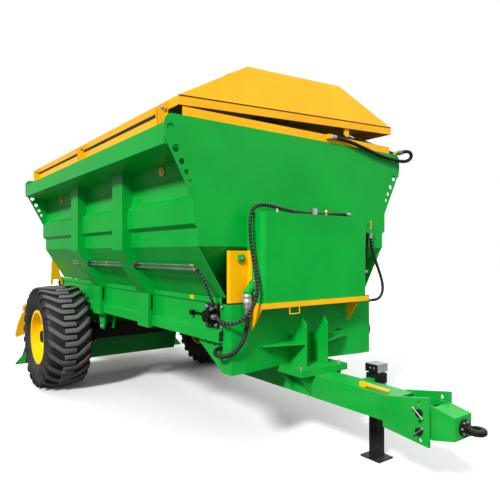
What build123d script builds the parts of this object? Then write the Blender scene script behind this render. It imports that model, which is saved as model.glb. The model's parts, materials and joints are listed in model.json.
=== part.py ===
from build123d import *
import math
import os

os.makedirs("parts", exist_ok=True)

# Lengths are in millimetres. X runs forward to the towing eye, Y to the left, Z up from the ground.

# Running gear
TYRE_DIAMETER = 1170
TYRE_WIDTH = 500
TRACK = 2140
RIM_FLANGE_DIAMETER = 616
RIM_SEAT_DIAMETER = 572
RIM_WIDTH = 430
RIM_SHEET = 10
DISH_DEPTH = 120
AXLE_BEAM_SIZE = 150
STUB_RADIUS = 35
RUNNING_GAP = 0.05
FIT_GAP = 0.3
MOVING_GAP = 5

# Layout along X, counted from the axle
FRONT_WALL_FROM_AXLE = 3100
HOPPER_LENGTH = 3900
EYE_FROM_AXLE = 4550
EYE_DIAMETER = 112
EYE_BORE = 50
EYE_THICKNESS = 34
DISC_FROM_AXLE = -1065
DISC_DIAMETER = 740
DISC_SPACING = 980

# Hopper section, half widths and heights
WING_HALF = 1240
BEAD_HALF = 1020
BAND_HALF = 985
RECESS_HALF = 958
RAIL_ROOT_HALF = 966
FOOT_HALF = 751
WALL_TOP_Z = 2485
RAIL_TOP_Z = 2420
RAIL_EDGE_Z = 2278
RAIL_ROOT_Z = 2235
WING_KINK_Z = 2327
BEAD_TOP_Z = 1914
BEAD_BOTTOM_Z = 1757
LEDGE_RISE = 46
BAND_BOTTOM_Z = 1600
FOOT_Z = 1230
SIDE_SHEET = 6
WALL_PLATE = 8
WING_CORNER = 60
RAIL_SHELF = 110

# Chassis
WEB_HALF = 750
SILL_HALF = 785
SILL_FLANGE_HALF = 700
CHASSIS_TOP_Z = 1228
LIP_BOTTOM_Z = 1186
SILL_TOP_Z = 985
SILL_BOTTOM_Z = 905
CHASSIS_SHEET = 8
CHASSIS_FRONT = 3050
CHASSIS_REAR = -1050
LIP_STEP = 12

# Conveyor
ROLLER_RADIUS = 95
BELT_THICKNESS = 10
BELT_HALF = 700
FRONT_ROLLER = 2926
REAR_ROLLER = -930
ROLLER_Z = 1088
ROLLER_SHAFT = 25
WINDOW_LENGTH = 200
WINDOW_HEIGHT = 90

# Drawbar and hitch
DRAWBAR_HALF = 105
DRAWBAR_TOP_Z = 630
DRAWBAR_HEIGHT = 170
DRAWBAR_WALL = 10
DRAWBAR_REAR = 2300
DRAWBAR_FRONT = 4060
FLANGE_PLATE = 25
FLANGE_HALF = 245
FLANGE_REAR = 2960
FLANGE_FRONT = 3345
HEAD_PLATE = 20
HEAD_HOLE_FROM_AXLE = 4259
HEAD_HOLE_TOP_Z = 646
HEAD_HOLE_PITCH = 56.5
HITCH_PIN_RADIUS = 14

# Parking jack
JACK_FROM_AXLE = 3590
JACK_Y = 300
JACK_TUBE = 80
JACK_SLEEVE = 104

# Oil tank
TANK_DEPTH = 180
TANK_HALF = 564
TANK_FLOOR_Z = 1191
TANK_TOP_Z = 1851
TANK_CORNER = 40

# Lid
HINGE_Y = -1190
LID_OPEN_DEG = 2.9
LID_FRAME_HEIGHT = 64
LID_HALF = 1130
LID_RIDGE_HALF = 500
LID_RISE = 310
LID_SHEET = 4
GABLE_LEAN = 50
RIM_HEIGHT = 128
HINGE_RISE = 4
RIM_SIDE = 1160
HINGE_PIN = 8

# Lid cylinder
RAM_BASE_Y = 1215
RAM_BASE_RISE = 80
RAM_LUG_Y = 536
RAM_LUG_RISE = 45
RAM_X = 3045
RAM_BARREL_RADIUS = 22
RAM_ROD_RADIUS = 12

# Hoses
PRESSURE_HOSE = 26
RETURN_HOSE = 18
SUCTION_HOSE = 32
LID_HOSE = 32

# Spreader
BEAM_FROM_AXLE = -1200
BEAM_SIZE = 80
BEAM_Z = 800
DISC_Z = 520
DISC_PLATE = 6
MOTOR_PLATE_Z = 378
VANE_HEIGHT = 60

# Derived places
WHEEL_RADIUS = TYRE_DIAMETER / 2
REAR_REACH = DISC_DIAMETER / 2 - DISC_FROM_AXLE
AXLE_X = (REAR_REACH - EYE_FROM_AXLE - EYE_DIAMETER / 2) / 2
AXLE_Z = WHEEL_RADIUS
RIM_TOP_Z = RAIL_TOP_Z + RIM_HEIGHT
HINGE_Z = RIM_TOP_Z + HINGE_RISE
RAM_BASE_Z = RAIL_TOP_Z + RAM_BASE_RISE
RAM_LUG_Z = HINGE_Z + RAM_LUG_RISE
WHEEL_Y = TRACK / 2
FRONT_WALL_X = AXLE_X + FRONT_WALL_FROM_AXLE
REAR_WALL_X = FRONT_WALL_X - HOPPER_LENGTH
SIDES = [("right", -1), ("left", 1)]


def at(distance):
    """X of a point counted from the axle."""
    return AXLE_X + distance


def offset_path(points, distance):
    """Path moved to its right by a distance, mitred at its corners."""
    moved = []
    last = len(points) - 1
    for i, (a, b) in enumerate(points):
        normals = []
        for j in (i - 1, i):
            if 0 <= j < last:
                da = points[j + 1][0] - points[j][0]
                db = points[j + 1][1] - points[j][1]
                run = math.hypot(da, db)
                normals.append((db / run, -da / run))
        na = sum(n[0] for n in normals) / len(normals)
        nb = sum(n[1] for n in normals) / len(normals)
        square = na * na + nb * nb
        moved.append((a + distance * na / square, b + distance * nb / square))
    return moved


def sheet(points, thickness):
    """Outline of a folded sheet with its thickness to the right of the path."""
    return points + offset_path(points, thickness)[::-1]


def section(x):
    """Plane across the machine at X, its local axes Y and Z."""
    return Plane(origin=(x, 0, 0), x_dir=(0, 1, 0), z_dir=(1, 0, 0))


def side_plane(y):
    """Plane along the machine at Y, its local axes X and Z, its normal to the right."""
    return Plane.XZ.offset(-y)


def save(part, label):
    part.label = label
    export_step(part, "parts/" + label + ".step")


# Wheels
TREAD_HALF = TYRE_WIDTH / 2 - 35
LUG_COUNT = 25
LUG_HEIGHT = 33
LUG_WIDTH = 52
LUG_LEAD = 130
LUG_OVERLAP = 20
LUG_SHOULDER = 40
LUG_FOOT = 470
CARCASS_RADIUS = WHEEL_RADIUS - LUG_HEIGHT
CARCASS_FLATS = 2 * LUG_COUNT
SIDEWALL_HALF = TYRE_WIDTH / 2 - 12
SIDEWALL_RADIUS = 455
BEAD_RISE = 8
BEAD_OFFSET = RIM_WIDTH / 2 - RIM_SHEET - FIT_GAP
RIM_FLANGE_RADIUS = RIM_FLANGE_DIAMETER / 2
RIM_SEAT_RADIUS = RIM_SEAT_DIAMETER / 2
RIM_WELL_DEPTH = 45
DISH_Y = RIM_WIDTH / 2 - DISH_DEPTH
HUB_HOLE_RADIUS = 110
HUB_FLANGE_RADIUS = 160
HUB_FLANGE = 20
HUB_CAP_RADIUS = 75
HUB_CAP_REACH = 75
HUB_BARREL_RADIUS = 90
DRUM_RADIUS = 190
DRUM_WIDTH = 100
HUB_INNER = -60
STUB_REACH = 60
BACK_PLATE = 20

tyre_half = [
    (-BEAD_OFFSET, RIM_SEAT_RADIUS + FIT_GAP),
    (-BEAD_OFFSET, RIM_FLANGE_RADIUS + BEAD_RISE),
    (-SIDEWALL_HALF, SIDEWALL_RADIUS),
    (-TREAD_HALF, CARCASS_RADIUS),
]
tyre_profile = tyre_half + [(-a, b) for a, b in tyre_half[::-1]]

rim_half = [
    (RIM_WIDTH / 2, RIM_FLANGE_RADIUS),
    (RIM_WIDTH / 2 - RIM_SHEET, RIM_FLANGE_RADIUS),
    (RIM_WIDTH / 2 - RIM_SHEET, RIM_SEAT_RADIUS),
    (90, RIM_SEAT_RADIUS),
    (60, RIM_SEAT_RADIUS - RIM_WELL_DEPTH),
]
rim_profile = rim_half + [(-a, b) for a, b in rim_half[::-1]]
rim_profile += [(-RIM_WIDTH / 2, RIM_SEAT_RADIUS - RIM_SHEET)]
rim_profile += [(-90 - RIM_SHEET / 2, RIM_SEAT_RADIUS - RIM_SHEET)]
rim_profile += [(-60 - RIM_SHEET / 2, RIM_SEAT_RADIUS - RIM_WELL_DEPTH - RIM_SHEET)]
rim_profile += [(60 + RIM_SHEET / 2, RIM_SEAT_RADIUS - RIM_WELL_DEPTH - RIM_SHEET)]
rim_profile += [(90 + RIM_SHEET / 2, RIM_SEAT_RADIUS - RIM_SHEET)]
rim_profile += [(RIM_WIDTH / 2, RIM_SEAT_RADIUS - RIM_SHEET)]
DISH_OUTER_RADIUS = RIM_SEAT_RADIUS - RIM_SHEET / 2

# One flat of the carcass, between two planes through the wheel's centre
flat_reach = WHEEL_RADIUS * math.tan(math.pi / CARCASS_FLATS)
with BuildPart() as carcass_flat:
    with BuildSketch(section(0)):
        Polygon(*tyre_profile, align=None)
    extrude(amount=flat_reach, both=True)
    with BuildSketch(side_plane(TYRE_WIDTH / 2)):
        Polygon((0, 0), (flat_reach, WHEEL_RADIUS), (-flat_reach, WHEEL_RADIUS), align=None)
    extrude(amount=TYRE_WIDTH, mode=Mode.INTERSECT)


def tread_lug(half):
    """Slanted lug at the top of a wheel, on one half of the tread and down on its shoulder."""
    edge = half * TYRE_WIDTH / 2
    inner = -half * LUG_OVERLAP
    root = CARCASS_RADIUS - LUG_LEAD
    tip = math.sqrt(WHEEL_RADIUS**2 - ((LUG_LEAD + LUG_WIDTH) / 2) ** 2)
    with BuildPart() as lug:
        with BuildSketch(Plane.XY.offset(root)):
            Polygon(
                ((-LUG_LEAD - LUG_WIDTH) / 2, edge),
                ((-LUG_LEAD + LUG_WIDTH) / 2, edge),
                ((LUG_LEAD + LUG_WIDTH) / 2, inner),
                ((LUG_LEAD - LUG_WIDTH) / 2, inner),
                align=None,
            )
        extrude(amount=tip - root)
        with BuildSketch(section(-LUG_LEAD)):
            Polygon(
                (inner, CARCASS_RADIUS - LUG_HEIGHT),
                (inner, tip),
                (half * TREAD_HALF, tip),
                (edge, tip - LUG_SHOULDER),
                (edge, LUG_FOOT),
                align=None,
            )
        extrude(amount=2 * LUG_LEAD, mode=Mode.INTERSECT)
    return lug.part


def wheel_ring(piece, count, start):
    """Copies of a piece round the wheel's axis, the first turned by a part of the pitch."""
    return [Location((0, 0, 0), (0, (i + start) * 360 / count, 0)) * piece for i in range(count)]


tyre_pieces = wheel_ring(carcass_flat.part, CARCASS_FLATS, 0)
for half, start in ((-1, 0), (1, 0.5)):
    tyre_pieces += wheel_ring(tread_lug(half), LUG_COUNT, start)

for side, sign in SIDES:
    wheel_plane = Plane(origin=(AXLE_X, sign * WHEEL_Y, AXLE_Z), x_dir=(0, sign, 0), z_dir=(sign, 0, 0))
    spin = Axis((AXLE_X, sign * WHEEL_Y, AXLE_Z), (0, 1, 0))

    with BuildPart() as tyre:
        add([Location((AXLE_X, sign * WHEEL_Y, AXLE_Z)) * piece for piece in tyre_pieces])
    save(tyre.part, "tyre_" + side)

    with BuildPart() as rim:
        with BuildSketch(wheel_plane):
            Polygon(*rim_profile, align=None)
            with Locations((DISH_Y + RIM_SHEET / 2, (HUB_HOLE_RADIUS + DISH_OUTER_RADIUS) / 2)):
                Rectangle(RIM_SHEET, DISH_OUTER_RADIUS - HUB_HOLE_RADIUS)
        revolve(axis=spin)
    save(rim.part, "rim_" + side)

    hub_profile = [
        (HUB_INNER - DRUM_WIDTH, STUB_RADIUS + RUNNING_GAP),
        (HUB_INNER - DRUM_WIDTH, DRUM_RADIUS),
        (HUB_INNER, DRUM_RADIUS),
        (HUB_INNER, HUB_BARREL_RADIUS),
        (DISH_Y - HUB_FLANGE, HUB_BARREL_RADIUS),
        (DISH_Y - HUB_FLANGE, HUB_FLANGE_RADIUS),
        (DISH_Y, HUB_FLANGE_RADIUS),
        (DISH_Y, HUB_CAP_RADIUS),
        (DISH_Y + HUB_CAP_REACH, HUB_CAP_RADIUS - 8),
        (DISH_Y + HUB_CAP_REACH, 0),
        (STUB_REACH + 1, 0),
        (STUB_REACH + 1, STUB_RADIUS + RUNNING_GAP),
    ]
    with BuildPart() as hub:
        with BuildSketch(wheel_plane):
            Polygon(*hub_profile, align=None)
        revolve(axis=spin)
    save(hub.part, "hub_" + side)

# Axle beam with its back plates and stubs
BEAM_END = WHEEL_Y + HUB_INNER - DRUM_WIDTH - MOVING_GAP - BACK_PLATE
with BuildPart() as axle_beam:
    with Locations((AXLE_X, 0, AXLE_Z)):
        Box(AXLE_BEAM_SIZE, 2 * BEAM_END, AXLE_BEAM_SIZE)
    for sign in (-1, 1):
        with BuildSketch(side_plane(sign * BEAM_END)):
            with Locations((AXLE_X, AXLE_Z)):
                Circle(DRUM_RADIUS)
        extrude(amount=-sign * BACK_PLATE)
        with BuildSketch(side_plane(sign * BEAM_END)):
            with Locations((AXLE_X, AXLE_Z)):
                Circle(STUB_RADIUS)
        extrude(amount=-sign * (WHEEL_Y + STUB_REACH - BEAM_END))
save(axle_beam.part, "axle_beam")

# Leaf springs over the axle, held in hangers under the sills
SPRING_Y = 695
SPRING_HALF_WIDTH = 40
SPRING_REACH = 640
SPRING_LEAF = 40
SPRING_SEAT = 220
SPRING_EYE_RADIUS = 30
SPRING_PIN = 15
SPRING_CAMBER = 82
SPRING_SEAT_Z = AXLE_Z + AXLE_BEAM_SIZE / 2
SPRING_EYE_Z = SPRING_SEAT_Z + SPRING_CAMBER
spring_path = [
    (at(-SPRING_REACH), SPRING_EYE_Z + SPRING_LEAF / 2),
    (at(-SPRING_SEAT), SPRING_SEAT_Z + SPRING_LEAF),
    (at(SPRING_SEAT), SPRING_SEAT_Z + SPRING_LEAF),
    (at(SPRING_REACH), SPRING_EYE_Z + SPRING_LEAF / 2),
]
with BuildPart() as leaf_springs:
    with BuildSketch(side_plane(SPRING_Y + SPRING_HALF_WIDTH)):
        Polygon(*sheet(spring_path, SPRING_LEAF), align=None)
        with Locations((at(-SPRING_REACH), SPRING_EYE_Z), (at(SPRING_REACH), SPRING_EYE_Z)):
            Circle(SPRING_EYE_RADIUS)
            Circle(SPRING_PIN + FIT_GAP, mode=Mode.SUBTRACT)
    extrude(amount=2 * SPRING_HALF_WIDTH)
    mirror(about=Plane.XZ)
save(leaf_springs.part, "leaf_springs")

HANGER_SLOT = SPRING_HALF_WIDTH + 5
HANGER_CHEEK = 18
HANGER_TOP_HALF = 105
HANGER_FOOT_HALF = 45
HANGER_DROP = 160
HANGER_CAP = 25
HANGER_Z = SILL_BOTTOM_Z - HANGER_DROP - SPRING_EYE_RADIUS
with BuildPart() as spring_hangers:
    for place in (-SPRING_REACH, SPRING_REACH):
        with BuildSketch(side_plane(SPRING_Y + HANGER_SLOT + HANGER_CHEEK)):
            Polygon(
                (at(place - HANGER_TOP_HALF), SILL_BOTTOM_Z),
                (at(place + HANGER_TOP_HALF), SILL_BOTTOM_Z),
                (at(place + HANGER_FOOT_HALF), HANGER_Z),
                (at(place - HANGER_FOOT_HALF), HANGER_Z),
                align=None,
            )
        extrude(amount=2 * (HANGER_SLOT + HANGER_CHEEK))
    with Locations((AXLE_X, SPRING_Y, SILL_BOTTOM_Z - HANGER_CAP)):
        Box(
            3 * SPRING_REACH,
            2 * HANGER_SLOT,
            HANGER_DROP * 2,
            align=(Align.CENTER, Align.CENTER, Align.MAX),
            mode=Mode.SUBTRACT,
        )
    for place in (-SPRING_REACH, SPRING_REACH):
        with BuildSketch(side_plane(SPRING_Y + HANGER_SLOT + 1)):
            with Locations((at(place), SPRING_EYE_Z)):
                Circle(SPRING_PIN)
        extrude(amount=2 * HANGER_SLOT + 2)
    mirror(about=Plane.XZ)
save(spring_hangers.part, "spring_hangers")

# Clamps that tie springs and axle
CLAMP_LENGTH = 240
CLAMP_PLATE = 15
CLAMP_ROD = 9
CLAMP_ROD_GAP = 2
ROD_X = AXLE_BEAM_SIZE / 2 + CLAMP_ROD + CLAMP_ROD_GAP
ROD_Y = SPRING_HALF_WIDTH + CLAMP_ROD + CLAMP_ROD_GAP
CLAMP_TOP_Z = SPRING_SEAT_Z + SPRING_LEAF
CLAMP_BOTTOM_Z = AXLE_Z - AXLE_BEAM_SIZE / 2
with BuildPart() as axle_clamps:
    for z in (CLAMP_TOP_Z + CLAMP_PLATE / 2, CLAMP_BOTTOM_Z - CLAMP_PLATE / 2):
        with Locations((AXLE_X, SPRING_Y, z)):
            Box(CLAMP_LENGTH, 2 * ROD_Y + 4 * CLAMP_ROD, CLAMP_PLATE)
    with BuildSketch(Plane.XY.offset(CLAMP_BOTTOM_Z)):
        with Locations((AXLE_X, SPRING_Y)):
            with GridLocations(2 * ROD_X, 2 * ROD_Y, 2, 2):
                Circle(CLAMP_ROD)
    extrude(amount=CLAMP_TOP_Z - CLAMP_BOTTOM_Z)
    mirror(about=Plane.XZ)
save(axle_clamps.part, "axle_clamps")

# Chassis side frames, folded, with windows for the rollers, arms for the spreader and the hose block
frame_path = [
    (WEB_HALF + LIP_STEP, CHASSIS_TOP_Z),
    (WEB_HALF + LIP_STEP, LIP_BOTTOM_Z),
    (WEB_HALF, LIP_BOTTOM_Z - LIP_STEP),
    (WEB_HALF, SILL_TOP_Z + LIP_STEP),
    (SILL_HALF, SILL_TOP_Z),
    (SILL_HALF, SILL_BOTTOM_Z),
    (SILL_FLANGE_HALF, SILL_BOTTOM_Z),
]
ARM_PLATE = 12
ARM_LAP = 60
ARM_Z = SILL_TOP_Z + 5
BEAM_FRONT = BEAM_FROM_AXLE + BEAM_SIZE / 2
BEAM_BOTTOM_Z = BEAM_Z - BEAM_SIZE / 2
HOSE_BLOCK_FROM_AXLE = 3020
HOSE_BLOCK_LENGTH = 56
HOSE_BLOCK_END = 808
HOSE_BLOCK_Z = 1090
HOSE_BLOCK_HEIGHT = 50
with BuildPart() as side_frames:
    with BuildSketch(section(at(CHASSIS_REAR))):
        Polygon(*sheet(frame_path, CHASSIS_SHEET), align=None)
    extrude(amount=CHASSIS_FRONT - CHASSIS_REAR)
    with Locations((at(FRONT_ROLLER), WEB_HALF, ROLLER_Z), (at(REAR_ROLLER), WEB_HALF, ROLLER_Z)):
        Box(WINDOW_LENGTH, 6 * CHASSIS_SHEET, WINDOW_HEIGHT, mode=Mode.SUBTRACT)
    with BuildSketch(side_plane(WEB_HALF - CHASSIS_SHEET)):
        Polygon(
            (at(BEAM_FRONT), BEAM_BOTTOM_Z),
            (at(BEAM_FRONT), ARM_Z),
            (at(CHASSIS_REAR + ARM_LAP), ARM_Z),
            (at(CHASSIS_REAR + ARM_LAP), SILL_BOTTOM_Z + CHASSIS_SHEET),
            (at(CHASSIS_REAR), SILL_BOTTOM_Z + CHASSIS_SHEET),
            (at(CHASSIS_REAR), BEAM_BOTTOM_Z),
            align=None,
        )
    extrude(amount=ARM_PLATE)
    mirror(about=Plane.XZ)
    with Locations((at(HOSE_BLOCK_FROM_AXLE), WEB_HALF, HOSE_BLOCK_Z)):
        Box(
            HOSE_BLOCK_LENGTH,
            HOSE_BLOCK_END - WEB_HALF,
            HOSE_BLOCK_HEIGHT,
            align=(Align.MIN, Align.MIN, Align.MIN),
        )
save(side_frames.part, "side_frames")

# Cross tubes under the belt
CROSS_PLACES = [-700, 0, 800, 1600, 2380, 2800]
CROSS_WIDTH = 80
CROSS_HEIGHT = 50
CROSS_HALF = WEB_HALF - CHASSIS_SHEET
CROSS_Z = SILL_BOTTOM_Z + CHASSIS_SHEET
with BuildPart() as cross_members:
    for place in CROSS_PLACES:
        with Locations((at(place), 0, CROSS_Z)):
            Box(
                CROSS_WIDTH,
                2 * CROSS_HALF,
                CROSS_HEIGHT,
                align=(Align.CENTER, Align.CENTER, Align.MIN),
            )
save(cross_members.part, "cross_members")

# Conveyor
BELT_RADIUS = ROLLER_RADIUS + BELT_THICKNESS + FIT_GAP
BELT_RUN = FRONT_ROLLER - REAR_ROLLER
BELT_MIDDLE = at((FRONT_ROLLER + REAR_ROLLER) / 2)
BELT_TOP_Z = ROLLER_Z + BELT_RADIUS
with BuildPart() as conveyor_belt:
    with BuildSketch(side_plane(BELT_HALF)):
        with Locations((BELT_MIDDLE, ROLLER_Z)):
            SlotCenterToCenter(BELT_RUN, 2 * BELT_RADIUS)
            SlotCenterToCenter(BELT_RUN, 2 * (ROLLER_RADIUS + FIT_GAP), mode=Mode.SUBTRACT)
    extrude(amount=2 * BELT_HALF)
save(conveyor_belt.part, "conveyor_belt")

BEARING_PLATE = 14
BEARING_SIZE = 170
SHAFT_END = WEB_HALF + BEARING_PLATE
with BuildPart() as conveyor_rollers:
    for place in (FRONT_ROLLER, REAR_ROLLER):
        with BuildSketch(side_plane(BELT_HALF)):
            with Locations((at(place), ROLLER_Z)):
                Circle(ROLLER_RADIUS)
        extrude(amount=2 * BELT_HALF)
        with BuildSketch(side_plane(SHAFT_END)):
            with Locations((at(place), ROLLER_Z)):
                Circle(ROLLER_SHAFT)
        extrude(amount=2 * SHAFT_END)
save(conveyor_rollers.part, "conveyor_rollers")

SCREW_LENGTH = 190
SCREW_RADIUS = 9
SCREW_BLOCK = 36
with BuildPart() as roller_bearings:
    for place, way in ((FRONT_ROLLER, -1), (REAR_ROLLER, 1)):
        with BuildSketch(side_plane(WEB_HALF)):
            with Locations((at(place), ROLLER_Z)):
                Rectangle(BEARING_SIZE, BEARING_SIZE)
                Circle(ROLLER_SHAFT + FIT_GAP, mode=Mode.SUBTRACT)
        extrude(amount=-BEARING_PLATE)
        screw_end = at(place) + way * (BEARING_SIZE / 2 + SCREW_LENGTH)
        with Locations((screw_end, WEB_HALF + SCREW_BLOCK / 2, ROLLER_Z)):
            Box(SCREW_BLOCK, SCREW_BLOCK, SCREW_BLOCK)
        with BuildSketch(section(at(place) + way * BEARING_SIZE / 2)):
            with Locations((WEB_HALF + SCREW_RADIUS + 1, ROLLER_Z)):
                Circle(SCREW_RADIUS)
        extrude(amount=way * SCREW_LENGTH)
    mirror(about=Plane.XZ)
save(roller_bearings.part, "roller_bearings")

MOTOR_FLANGE_RADIUS = 62
MOTOR_FLANGE = 18
MOTOR_RADIUS = 45
MOTOR_LENGTH = 60
PORT_RADIUS = 16
PORT_RISE = 72
PORT_Y = -SHAFT_END - MOTOR_LENGTH + PORT_RADIUS + 8
PORT_TILT = math.radians(45)
PORT_AXES = [(1, 0, 0), (math.cos(PORT_TILT), 0, math.sin(PORT_TILT))]
with BuildPart() as conveyor_motor:
    with BuildSketch(side_plane(-SHAFT_END)):
        with Locations((at(FRONT_ROLLER), ROLLER_Z)):
            Circle(MOTOR_FLANGE_RADIUS)
    extrude(amount=MOTOR_FLANGE)
    with BuildSketch(side_plane(-SHAFT_END - MOTOR_FLANGE)):
        with Locations((at(FRONT_ROLLER), ROLLER_Z)):
            Circle(MOTOR_RADIUS)
    extrude(amount=MOTOR_LENGTH - MOTOR_FLANGE)
    for axis in PORT_AXES:
        with BuildSketch(Plane(origin=(at(FRONT_ROLLER), PORT_Y, ROLLER_Z), x_dir=(0, 1, 0), z_dir=axis)):
            Circle(PORT_RADIUS)
        extrude(amount=PORT_RISE)
save(conveyor_motor.part, "conveyor_motor")

# Front bulkhead with its cheeks
BULKHEAD_SHEET = 10
BULKHEAD_TOP_Z = TANK_FLOOR_Z - 10
BULKHEAD_BOTTOM_Z = DRAWBAR_TOP_Z + 2 * FLANGE_PLATE
BULKHEAD_FRONT = 3150
BULKHEAD_MIDDLE = 3070
BULKHEAD_REAR = 2700
BULKHEAD_HALF = WEB_HALF - CHASSIS_SHEET
BULKHEAD_CORNER = 100
CHEEK_REAR_Z = 880
CHEEK_HOLE_FROM_AXLE = 3030
CHEEK_HOLES = [
    {"side": -1, "z": 860, "radius": SUCTION_HOSE / 2 + FIT_GAP},
    {"side": 1, "z": 792, "radius": PRESSURE_HOSE / 2 + FIT_GAP},
]
CHEEK_SLOTS = [2859, 2933]
CHEEK_SLOT_Z = 876
CHEEK_SLOT = (42, 14)
PANEL_SLOT = (64, 16)
PANEL_SLOT_PLACE = (388, 902)
half_front = [
    (at(BULKHEAD_MIDDLE), 120),
    (at(BULKHEAD_FRONT), 620),
    (at(BULKHEAD_FRONT), BULKHEAD_HALF),
    (at(BULKHEAD_REAR), BULKHEAD_HALF),
]
bulkhead_path = [(a, -b) for a, b in half_front[::-1]] + half_front
with BuildPart() as front_bulkhead:
    with BuildSketch(Plane.XY.offset(BULKHEAD_BOTTOM_Z)) as plan:
        Polygon(*sheet(bulkhead_path, -BULKHEAD_SHEET), align=None)
        at_cheeks = plan.vertices().filter_by(lambda v: abs(v.Y) > BULKHEAD_HALF - 2 * BULKHEAD_SHEET)
        corners = at_cheeks.filter_by(lambda v: v.X > at(BULKHEAD_FRONT) - 2 * BULKHEAD_SHEET)
        outer = corners.filter_by(lambda v: v.X > at(BULKHEAD_FRONT) - 1)
        inner = corners.filter_by(lambda v: v.X < at(BULKHEAD_FRONT) - 1)
        fillet(inner, BULKHEAD_CORNER - BULKHEAD_SHEET)
        fillet(outer, BULKHEAD_CORNER)
    extrude(amount=BULKHEAD_TOP_Z - BULKHEAD_BOTTOM_Z)
    with BuildSketch(side_plane(SILL_HALF)):
        Polygon(
            (at(BULKHEAD_REAR) - 1, BULKHEAD_BOTTOM_Z - 1),
            (at(CHASSIS_FRONT), BULKHEAD_BOTTOM_Z - 1),
            (at(BULKHEAD_REAR) - 1, CHEEK_REAR_Z),
            align=None,
        )
        Polygon(
            (at(BULKHEAD_REAR) - 1, SILL_BOTTOM_Z),
            (at(CHASSIS_FRONT) + 1, SILL_BOTTOM_Z),
            (at(CHASSIS_FRONT) + 1, BULKHEAD_TOP_Z + 1),
            (at(BULKHEAD_REAR) - 1, BULKHEAD_TOP_Z + 1),
            align=None,
        )
        with Locations([(at(place), CHEEK_SLOT_Z) for place in CHEEK_SLOTS]):
            SlotOverall(*CHEEK_SLOT)
    extrude(amount=2 * SILL_HALF, mode=Mode.SUBTRACT)
    for hole in CHEEK_HOLES:
        with BuildSketch(side_plane(hole["side"] * SILL_HALF)):
            with Locations((at(CHEEK_HOLE_FROM_AXLE), hole["z"])):
                Circle(hole["radius"])
        extrude(amount=hole["side"] * 2 * (SILL_HALF - BULKHEAD_HALF), mode=Mode.SUBTRACT)
    with BuildSketch(section(at(BULKHEAD_MIDDLE) - BULKHEAD_SHEET)):
        with Locations(PANEL_SLOT_PLACE):
            SlotOverall(*PANEL_SLOT)
    extrude(amount=BULKHEAD_FRONT - BULKHEAD_MIDDLE + BULKHEAD_SHEET, mode=Mode.SUBTRACT)
save(front_bulkhead.part, "front_bulkhead")

# Gusset blades, shelves and base plate in front of the bulkhead
GUSSET_Y = 120
GUSSET_PLATE = 14
GUSSET_FRONT = 3255
GUSSET_TOP_Z = 1065
SHELF_Z = 850
SHELF_PLATE = 12
SHELF_HALF = 450
with BuildPart() as front_gussets:
    with Locations((at((FLANGE_REAR + FLANGE_FRONT) / 2), 0, DRAWBAR_TOP_Z + FLANGE_PLATE * 1.5)):
        Box(FLANGE_FRONT - FLANGE_REAR, 2 * FLANGE_HALF, FLANGE_PLATE)
    with BuildSketch(side_plane(GUSSET_Y)):
        Polygon(
            (at(BULKHEAD_MIDDLE), BULKHEAD_BOTTOM_Z),
            (at(GUSSET_FRONT), BULKHEAD_BOTTOM_Z),
            (at(GUSSET_FRONT), GUSSET_TOP_Z - 65),
            (at(GUSSET_FRONT - 55), GUSSET_TOP_Z),
            (at(GUSSET_FRONT - 120), GUSSET_TOP_Z - 160),
            (at(BULKHEAD_MIDDLE), GUSSET_TOP_Z - 160),
            align=None,
        )
    extrude(amount=GUSSET_PLATE)
    with BuildSketch(Plane.XY.offset(SHELF_Z)):
        Polygon(
            (at(BULKHEAD_MIDDLE), GUSSET_Y),
            (at(GUSSET_FRONT), GUSSET_Y),
            (at(BULKHEAD_FRONT) - 4, SHELF_HALF),
            (at(BULKHEAD_MIDDLE) + 0.16 * (SHELF_HALF - GUSSET_Y), SHELF_HALF),
            align=None,
        )
    extrude(amount=SHELF_PLATE)
    mirror(about=Plane.XZ)
save(front_gussets.part, "front_gussets")

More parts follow.
